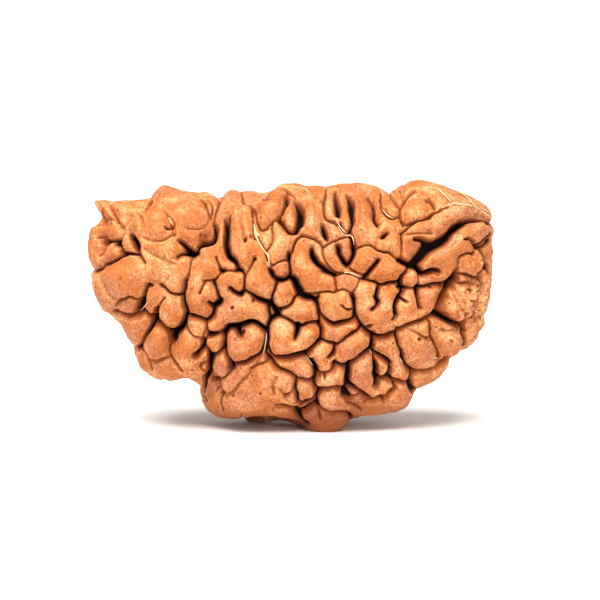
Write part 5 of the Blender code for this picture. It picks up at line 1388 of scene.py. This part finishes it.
def add_object(name: str, mesh: bpy.types.Mesh, material: bpy.types.Material) -> bpy.types.Object:
    """Links a mesh to the scene as an object at the origin.

    Args:
        name: the object's name.
        mesh: its mesh.
        material: the one material of its mesh.

    Returns:
        The object.
    """
    thing = bpy.data.objects.new(name, mesh)
    bpy.context.scene.collection.objects.link(thing)
    mesh.materials.clear()
    mesh.materials.append(material)
    return thing


@dataclass
class Relief:
    """What is carved at each place of the skin, and what is painted there, painted shade included.

    Depth and foot are shares, tone is paler above 0 and browner below it, and pull is rows in
    millimetres that move a place beside a cleft towards it.
    """

    depth: Array
    foot: Array
    tone: Array
    pull: Array


@dataclass
class BeadSkin:
    """The whole nut as one closed skin, fine where it is creased and coarser where it is smooth."""

    moon: HalfMoon
    face: FaceRelief
    lobes: GrownLobes
    lattice: BoxLattice
    finish: NutStone
    broad_lumps: Cloud = Cloud(1.3, 5)
    middle_lumps: Cloud = Cloud(0.6, 6)
    fine_lumps: Cloud = Cloud(0.28, 7)
    wavers: tuple[Cloud, Cloud] = (Cloud(0.5, 11), Cloud(0.5, 12))
    uneven_depth: Cloud = Cloud(1.5, 13)
    wall_mottle: Cloud = Cloud(0.3, 21)
    fine_creases: CellNet = CellNet(2.1, 9)
    waver: float = 0.06
    unevenness: float = 0.2
    mottle: float = 1.9
    wall_middle: tuple[float, float] = (14.2, 10.2)
    wall_reach: tuple[float, float] = (1.7, 2.9)
    cleft_depth: float = 1.65
    slanted_loss: float = 0.6
    downward_loss: float = 0.5
    face_reach: float = 0.14
    belly_turn: float = 0.15
    groove_depth: float = 0.9
    groove_y: float = 1.6
    groove_width: float = 0.9
    rest_centre: tuple[float, float] = (0.3, 0.6)
    rest_reach: tuple[float, float] = (2.7, 1.9)
    crease_bend: float = 0.4
    # Share of the fine creases that is painted dark, as painted shade in them.
    crease_depth: float = 0.13
    crease_painted_shade: float = 0.2
    rim_lift: float = 0.1
    smoothing: int = 1
    triangles: int = 194000

    def facing(self, body: Array, normals: Array) -> Array:
        """How squarely each place faces the viewer, with the front of the belly turned up a bit."""
        belly = smooth_step(4.0, 1.0, body[:, 2]) * smooth_step(1.0, -1.5, body[:, 1])
        return normals @ self.moon.sight + self.belly_turn * belly

    def rim_swelling(self, body: Array, facing: Array) -> Array:
        """Lift along the rim of the face, but for its lowest part."""
        return self.rim_lift * smooth_step(0.5, 0.0, np.abs(facing)) * smooth_step(3.0, 6.0, body[:, 2])

    def swelling(self, points: Array) -> Array:
        """Lift of the broad swellings of the face and the belly: a sum of bells.

        Args:
            points: rows of places on the smooth body.

        Returns:
            The lift at each place, in millimetres.
        """
        u, v = self.moon.face_places(points)
        lift = np.zeros(len(points))
        for x, height, across, up, amount in SWELLINGS:
            lift += amount * np.exp(-(((u - x) / across) ** 2) - ((v - height) / up) ** 2)
        lift *= smooth_step(0.5, -1.5, points[:, 1])
        for x, y, z, reach, amount in BELLY_SWELLINGS:
            lift += amount * np.exp(-((points - (x, y, z)) ** 2).sum(axis=1) / reach**2)
        return lift

    def groove(self, points: Array) -> Array:
        """The single shallow groove that wanders along the crest: a bell across a waved line.

        Args:
            points: rows of places on the smooth body.

        Returns:
            Its depth at each place, in millimetres.
        """
        x = points[:, 0]
        wander = self.groove_y + 0.35 * np.sin(x * 0.6) + 0.2 * np.sin(x * 1.7)
        gap = (points[:, 1] - wander) / self.groove_width
        return self.groove_depth * smooth_step(13.0, 15.5, points[:, 2]) * np.exp(-(gap**2))

    def lumps(self, points: Array) -> Array:
        """Small unevenness of the skin, coarser on the right end wall.

        Args:
            points: rows of places on the smooth body.

        Returns:
            The lift at each place, in millimetres.
        """
        coarse = self.coarseness(*self.moon.face_places(points))
        height = 0.09 * self.broad_lumps.at(points)
        height += (0.05 + 0.14 * coarse) * self.middle_lumps.at(points)
        return height + (0.025 + 0.13 * coarse) * self.fine_lumps.at(points)

    def coarseness(self, u: Array, v: Array) -> Array:
        """How rough the right end wall is: a bell with a flat top.

        Args:
            u: places across the face.
            v: places up the face.

        Returns:
            1 in the middle of the wall and 0 far from it.
        """
        across = (u - self.wall_middle[0]) / self.wall_reach[0]
        up = (v - self.wall_middle[1]) / self.wall_reach[1]
        return np.exp(-(across**4) - up**4)

    def carving(self, normals: Array, facing: Array, front: Array) -> Array:
        """Depth of a full cleft, less where the face slants away or is turned down.

        Args:
            normals: outward unit rows.
            facing: how squarely each place faces the viewer.
            front: share of the face at each place.

        Returns:
            The depth at each place, in millimetres.
        """
        slanted = (1.0 - smooth_step(0.1, 0.6, facing) * front) * front
        downward = smooth_step(0.3, 0.9, -normals[:, 2]) * front
        left = (1.0 - self.slanted_loss * slanted) * (1.0 - self.downward_loss * downward)
        return self.cleft_depth * left

    def wear_and_rim_highlight(self, body: Array) -> Array:
        """1 on the foot that the bead rests on, which is rubbed level, and 0 away from it."""
        rest = (body[:, :2] - self.rest_centre) / self.rest_reach
        return np.exp(-((rest**2).sum(axis=1) ** 2)) * smooth_step(3.0, 1.5, body[:, 2])

    def face_relief(self, body: Array, out: Array, sunk: Array, front: Array) -> Relief:
        """Reads the face's grids where the carved skin is seen.

        Args:
            body: rows of places on the smooth body.
            out: rows from there to the swollen skin.
            sunk: rows back from the swollen skin to the foot of a full cleft.
            front: share of the face at each place.

        Returns:
            The relief of the face, which is 0 where front is.
        """
        face = self.face
        mean = face.read(face.mean_depth, *self.moon.face_places(body + out)) * front
        u, v = self.moon.face_places(body + out + sunk * mean[:, None])
        u, v = (place + self.waver * cloud.at(body) for place, cloud in zip((u, v), self.wavers))
        uneven = front * (1.0 + self.unevenness * self.uneven_depth.at(body))
        mottle = self.mottle * self.coarseness(u, v) * self.wall_mottle.at(body)
        across, up = (face.read(grid, u, v) * front for grid in (face.pull_u, face.pull_v))
        right = np.array([1.0, 0.0, 0.0])
        rise = np.cross(right, -self.moon.sight)
        return Relief(
            depth=face.read(face.depth, u, v) * uneven,
            foot=face.read(face.foot, u, v) * uneven,
            tone=(face.read(face.tone, u, v) + mottle) * front,
            pull=across[:, None] * right + up[:, None] * rise,
        )

    def grow_lobes(self, relief: Relief, body: Array, facing: Array, front: Array) -> Array:
        """Adds the grown lobes to a relief where the face ends.

        Args:
            relief: the relief of the face.
            body: rows of places on the smooth body.
            facing: how squarely each place faces the viewer.
            front: share of the face at each place.

        Returns:
            The share of the fine creases at each place.
        """
        hidden = np.flatnonzero(front < 1.0)
        places = body[hidden]
        share = (1.0 - front[hidden]) * (0.4 + 0.6 * smooth_step(0.0, -0.35, facing[hidden]))
        depth, foot, pull = self.lobes.clefts(places)
        relief.depth[hidden] += depth * share
        relief.foot[hidden] += foot * share
        relief.pull[hidden] += pull * share[:, None]
        creases = np.zeros(len(body))
        bent = places + self.crease_bend * np.sin(places[:, [1, 2, 0]])
        creases[hidden] = self.fine_creases.at(bent) * share
        return creases

    def shape(self, directions: Array) -> tuple[Array, Relief]:
        """The finished skin in each direction.

        The body moves out along its normal by the swellings and lumps, and in by the clefts and
        the groove. Points beside a cleft also move a little towards it, which steepens its walls.

        Args:
            directions: unit rows.

        Returns:
            Rows of places in millimetres, and the relief at each.
        """
        body = self.moon.points(directions)
        normals = self.moon.normals(directions)
        facing = self.facing(body, normals)
        front = smooth_step(0.0, self.face_reach, facing)
        lift = self.swelling(body) + self.rim_swelling(body, facing)
        carved = self.carving(normals, facing, front)
        out, sunk = normals * lift[:, None], normals * -carved[:, None]
        relief = self.face_relief(body, out, sunk, front)
        creases = self.grow_lobes(relief, body, facing, front)
        kept = 1.0 - self.wear_and_rim_highlight(body)
        relief.depth *= kept
        # The fine creases add painted shade to the foot.
        relief.foot = (relief.foot + self.crease_painted_shade * creases) * kept
        height = lift - carved * relief.depth - self.groove(body)
        height += (self.lumps(body) - self.crease_depth * creases) * kept
        relief.pull -= normals * (relief.pull * normals).sum(axis=1)[:, None]
        return body + normals * height[:, None] + relief.pull * kept[:, None], relief

    def smooth(self, points: Array, quads: Array) -> Array:
        """Moves each point half way to the mean of its neighbours, some times.

        Args:
            points: rows of places.
            quads: rows of four point numbers.

        Returns:
            The moved rows.
        """
        start = quads.ravel()
        ends = np.roll(quads, -1, axis=1).ravel()
        count = np.bincount(start, minlength=len(points)).astype(float)
        for _ in range(self.smoothing):
            total = [np.bincount(start, points[ends, axis], len(points)) for axis in range(3)]
            points = 0.5 * points + 0.5 * np.stack(total, axis=1) / count[:, None]
        return points

    def seat(self, points: Array) -> Array:
        """Levels the foot at height 0 and brings the middle over the CAD solid's middle.

        Args:
            points: rows of places in millimetres, which are changed.

        Returns:
            The same rows.
        """
        points[:, 2] = np.maximum(points[:, 2], 0.0)
        low, high = (np.array(corner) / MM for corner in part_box("bead"))
        middle = 0.5 * (points.min(axis=0) + points.max(axis=0))
        points[:, :2] += (0.5 * (low + high) - middle)[:2]
        return points

    def thin_out(self, mesh: bpy.types.Mesh) -> bpy.types.Mesh:
        """Collapses the shortest and flattest edges until the wanted triangles are left.

        Args:
            mesh: the fine mesh, which is removed.

        Returns:
            The thinner mesh, in triangles.
        """
        helper = bpy.data.objects.new("helper", mesh)
        bpy.context.scene.collection.objects.link(helper)
        modifier = helper.modifiers.new("fewer_triangles", "DECIMATE")
        modifier.ratio = self.triangles / (2.0 * len(mesh.polygons))
        modifier.use_collapse_triangulate = True
        evaluated = helper.evaluated_get(bpy.context.evaluated_depsgraph_get())
        thin = bpy.data.meshes.new_from_object(evaluated)
        bpy.data.objects.remove(helper)
        bpy.data.meshes.remove(mesh)
        return thin

    def build(self) -> bpy.types.Object:
        """Makes the bead, dresses it and puts it in the CAD solid's place.

        Returns:
            The finished object.
        """
        directions, quads = self.lattice.build()
        points, relief = self.shape(directions)
        points = self.seat(self.smooth(points, quads))
        mesh = new_mesh("bead_skin_fine", points * MM, quads.tolist())
        for name, values in (("cleft", relief.depth), ("foot", relief.foot), ("tone", relief.tone)):
            attribute = mesh.attributes.new(name, "FLOAT", "POINT")
            attribute.data.foreach_set("value", values.astype(np.float32))
        mesh = self.thin_out(mesh)
        mesh.name = "bead_skin"
        mesh.shade_smooth()
        bead = add_object("bead_skin", mesh, self.finish.material())
        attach(bead, "root")
        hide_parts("bead")
        LOG.info("bead skin: %d triangles", len(mesh.polygons))
        return bead


@dataclass
class FibreStrands:
    """Thin dried fibres that lie in the clefts and over the lobes."""

    moon: HalfMoon
    bead: bpy.types.Object
    finish: DriedFibre
    sides: int = 6
    pieces: int = 8
    viewing_distance: float = 40.0
    feeler: float = 0.22
    sunk: float = 0.3
    deepest_drop: float = 1.2
    averaged: int = 7
    flatness: float = 0.6
    proud: float = 0.4
    stray_count: int = 14
    stray_step: float = 0.55
    seed: int = 12
    skin: BVHTree = field(init=False)

    def __post_init__(self) -> None:
        """Prepares the bead's skin for probing."""
        bpy.context.view_layer.update()
        self.skin = BVHTree.FromObject(self.bead, bpy.context.evaluated_depsgraph_get())

    def probe(self, places: Array, sight: Array) -> Array:
        """How far each place lies in front of the skin, along the line of sight.

        Args:
            places: rows in millimetres, outside the bead.
            sight: unit vector from the bead to the viewer.

        Returns:
            Distances in millimetres, not a number where the line misses.
        """
        line = Vector(-sight)
        hits = [self.skin.ray_cast(Vector(place * MM), line)[3] for place in places]
        return np.array([math.nan if hit is None else hit / MM for hit in hits])

    def lay(self, row: tuple, sight: Array) -> tuple[Array, Array] | None:
        """Lays one strand on the skin.

        The strand lies between the skin right behind it and the nearest skin beside it, so it
        bridges a cleft that it crosses and sinks a little into one that it follows.

        Args:
            row: across, up and half width at each point, as seen along the line of sight.
            sight: unit vector from the bead to the viewer.

        Returns:
            Rows of its middle line in millimetres with half widths, or None where it misses.
        """
        line = curved_line(row, self.pieces)
        right = unit(np.cross(np.array([0.0, 0.0, 1.0]), sight))
        up = np.cross(sight, right)
        places = line[:, :1] * right + line[:, 1:2] * up + sight * self.viewing_distance
        behind = self.probe(places, sight)
        along = unit(np.gradient(places, axis=0))
        aside = np.cross(along, sight) * self.feeler
        beside = np.fmin(self.probe(places + aside, sight), self.probe(places - aside, sight))
        met = ~np.isnan(behind)
        if met.sum() < self.pieces:
            return None
        places, half_width, behind = places[met], line[met, 2], behind[met]
        top = np.fmin(behind, beside[met])
        depth = top + self.sunk * np.clip(behind - top, 0.0, self.deepest_drop)
        padded = np.pad(depth, self.averaged // 2, mode="edge")
        depth = np.convolve(padded, np.full(self.averaged, 1.0 / self.averaged), mode="valid")
        return places - sight * (depth - self.proud * half_width)[:, None], half_width

    def tube(self, middle: Array, half_width: Array, sight: Array, first: int) -> tuple[Array, list]:
        """A flattened tube along a line: a small oval ring carried along it, with its ends closed.

        Args:
            middle: rows of the middle line.
            half_width: half the tube's width at each row.
            sight: the way that its flat side faces.
            first: number of its first point.

        Returns:
            Rows of places and rows of point numbers.
        """
        along = unit(np.gradient(middle, axis=0))
        aside = unit(np.cross(along, sight))
        out = np.cross(aside, along)
        turn = np.linspace(0.0, 2.0 * math.pi, self.sides, endpoint=False)
        level = aside[:, None] * np.cos(turn)[:, None]
        upright = out[:, None] * self.flatness * np.sin(turn)[:, None]
        points = (middle[:, None] + half_width[:, None, None] * (level + upright)).reshape(-1, 3)
        steps = np.arange(len(middle) - 1)[:, None] * self.sides
        side = np.arange(self.sides)[None]
        after = (side + 1) % self.sides
        corners = [steps + side, steps + self.sides + side, steps + self.sides + after, steps + after]
        faces = (np.stack(corners, axis=-1).reshape(-1, 4) + first).tolist()
        start = np.arange(self.sides) + first
        last = start[::-1] + (len(middle) - 1) * self.sides
        return points, faces + [start.tolist(), last.tolist()]

    def strays(self) -> list[tuple[Array, Array]]:
        """Short bent rows at random round the back, the ends and the crest.

        Returns:
            Each row of across, up and half width, with its line of sight.
        """
        chance = np.random.default_rng(self.seed)
        rows = []
        for _ in range(self.stray_count):
            turn, rise = np.radians(chance.uniform((20.0, 0.0), (160.0, 60.0)))
            level = math.cos(rise)
            sight = np.array([level * math.cos(turn), level * math.sin(turn), math.sin(rise)])
            heading = chance.uniform(0.0, 2.0 * math.pi) + chance.normal(0.0, 0.5, 4).cumsum()
            steps = self.stray_step * np.stack([np.cos(heading), np.sin(heading)], axis=1)
            places = chance.uniform((-11.0, 4.0), (11.0, 15.0)) + steps.cumsum(axis=0)
            rows.append((np.column_stack([places, (0.02, 0.05, 0.05, 0.02)]), sight))
        return rows

    def build(self) -> bpy.types.Object:
        """Makes all strands as one piece.

        Returns:
            The finished object.
        """
        rows = [(row, self.moon.sight) for row in FACE_FIBRES] + self.strays()
        strands = [(*strand, sight) for row, sight in rows if (strand := self.lay(row, sight))]
        points, faces = [], []
        first = 0
        for middle, half_width, sight in strands:
            places, walls = self.tube(middle, half_width, sight, first)
            points.append(places)
            faces += walls
            first += len(places)
        mesh = new_mesh("dried_fibres", np.concatenate(points) * MM, faces)
        fibres = add_object("dried_fibres", mesh, self.finish.material())
        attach(fibres, "root")
        LOG.info("dried fibres: %d strands", len(strands))
        return fibres


@dataclass(frozen=True)
class Studio:
    """A pale floor, soft lights and the camera, which looks along the way that the face is read."""

    sight: Array
    floor_radius: float = 4.0
    floor_sides: int = 64
    floor_colour: Colour = (0.87, 0.87, 0.87, 1.0)
    sky: Colour = (1.0, 0.985, 0.97, 1.0)
    sky_strength: float = 0.55
    distance: float = 1000.0
    frame_width: float = 48.0
    sensor: float = 36.0
    aim: tuple[float, float, float] = (0.73, -3.8, 10.85)

    def floor(self) -> bpy.types.Object:
        """A round pale floor.

        Returns:
            The finished object.
        """
        turn = np.linspace(0.0, 2.0 * math.pi, self.floor_sides, endpoint=False)
        border = np.stack([np.cos(turn), np.sin(turn), 0.0 * turn], axis=1) * self.floor_radius
        graph = Graph("pale_floor")
        graph.shader.inputs["Base Color"].default_value = self.floor_colour
        graph.shader.inputs["Roughness"].default_value = 0.8
        mesh = new_mesh("floor", border, [list(range(self.floor_sides))])
        ground = add_object("floor", mesh, graph.material)
        return ground

    def lamp(self, name: str, place: tuple, size: float, power: float, colour: tuple) -> None:
        """A soft square lamp that looks at the bead.

        Args:
            name: its name.
            place: where it hangs, in metres.
            size: its edge, in metres.
            power: in watts.
            colour: of its light.
        """
        light = bpy.data.lights.new(name, "AREA")
        light.size, light.energy, light.color = size, power, colour
        lamp = bpy.data.objects.new(name, light)
        lamp.location = place
        towards = Vector((0.0, 0.0, 0.01)) - Vector(place)
        lamp.rotation_euler = towards.to_track_quat("-Z", "Y").to_euler()
        bpy.context.scene.collection.objects.link(lamp)

    def lights(self) -> None:
        """The sky light, a large lamp above the front and a weaker one on the right."""
        world = bpy.data.worlds.new("studio")
        world.use_nodes = True
        background = world.node_tree.nodes["Background"]
        background.inputs["Color"].default_value = self.sky
        background.inputs["Strength"].default_value = self.sky_strength
        bpy.context.scene.world = world
        self.lamp("key_lamp", (-0.06, -0.22, 0.44), 0.4, 6.5, (1.0, 0.97, 0.93))
        self.lamp("side_lamp", (0.2, -0.45, 0.15), 0.25, 0.8, (1.0, 0.95, 0.9))

    def camera(self) -> None:
        """The camera, in front of the bead and slightly above it."""
        data = bpy.data.cameras.new("camera")
        data.sensor_width = self.sensor
        data.lens = self.sensor * self.distance / self.frame_width
        data.clip_start, data.clip_end = 0.01, 20.0
        camera = bpy.data.objects.new("camera", data)
        back = Vector(self.sight)
        camera.location = (Vector(self.aim) + back * self.distance) * MM
        camera.rotation_euler = (-back).to_track_quat("-Z", "Y").to_euler()
        bpy.context.scene.collection.objects.link(camera)
        bpy.context.scene.camera = camera

    def build(self) -> None:
        """Sets the whole studio up."""
        self.floor()
        self.lights()
        self.camera()
        bpy.context.scene.view_settings.view_transform = "Standard"
        LOG.info("studio: floor, lamps and camera")


def main() -> None:
    """Builds the bead, its fibres and the studio."""
    logging.basicConfig(level=logging.INFO, format="%(name)s: %(message)s")
    moon = HalfMoon()
    skin = BeadSkin(moon, FaceRelief(), GrownLobes(moon), BoxLattice(moon.spread), NutStone())
    bead = skin.build()
    FibreStrands(moon, bead, DriedFibre()).build()
    Studio(moon.sight).build()


if __name__ == "__main__":
    main()
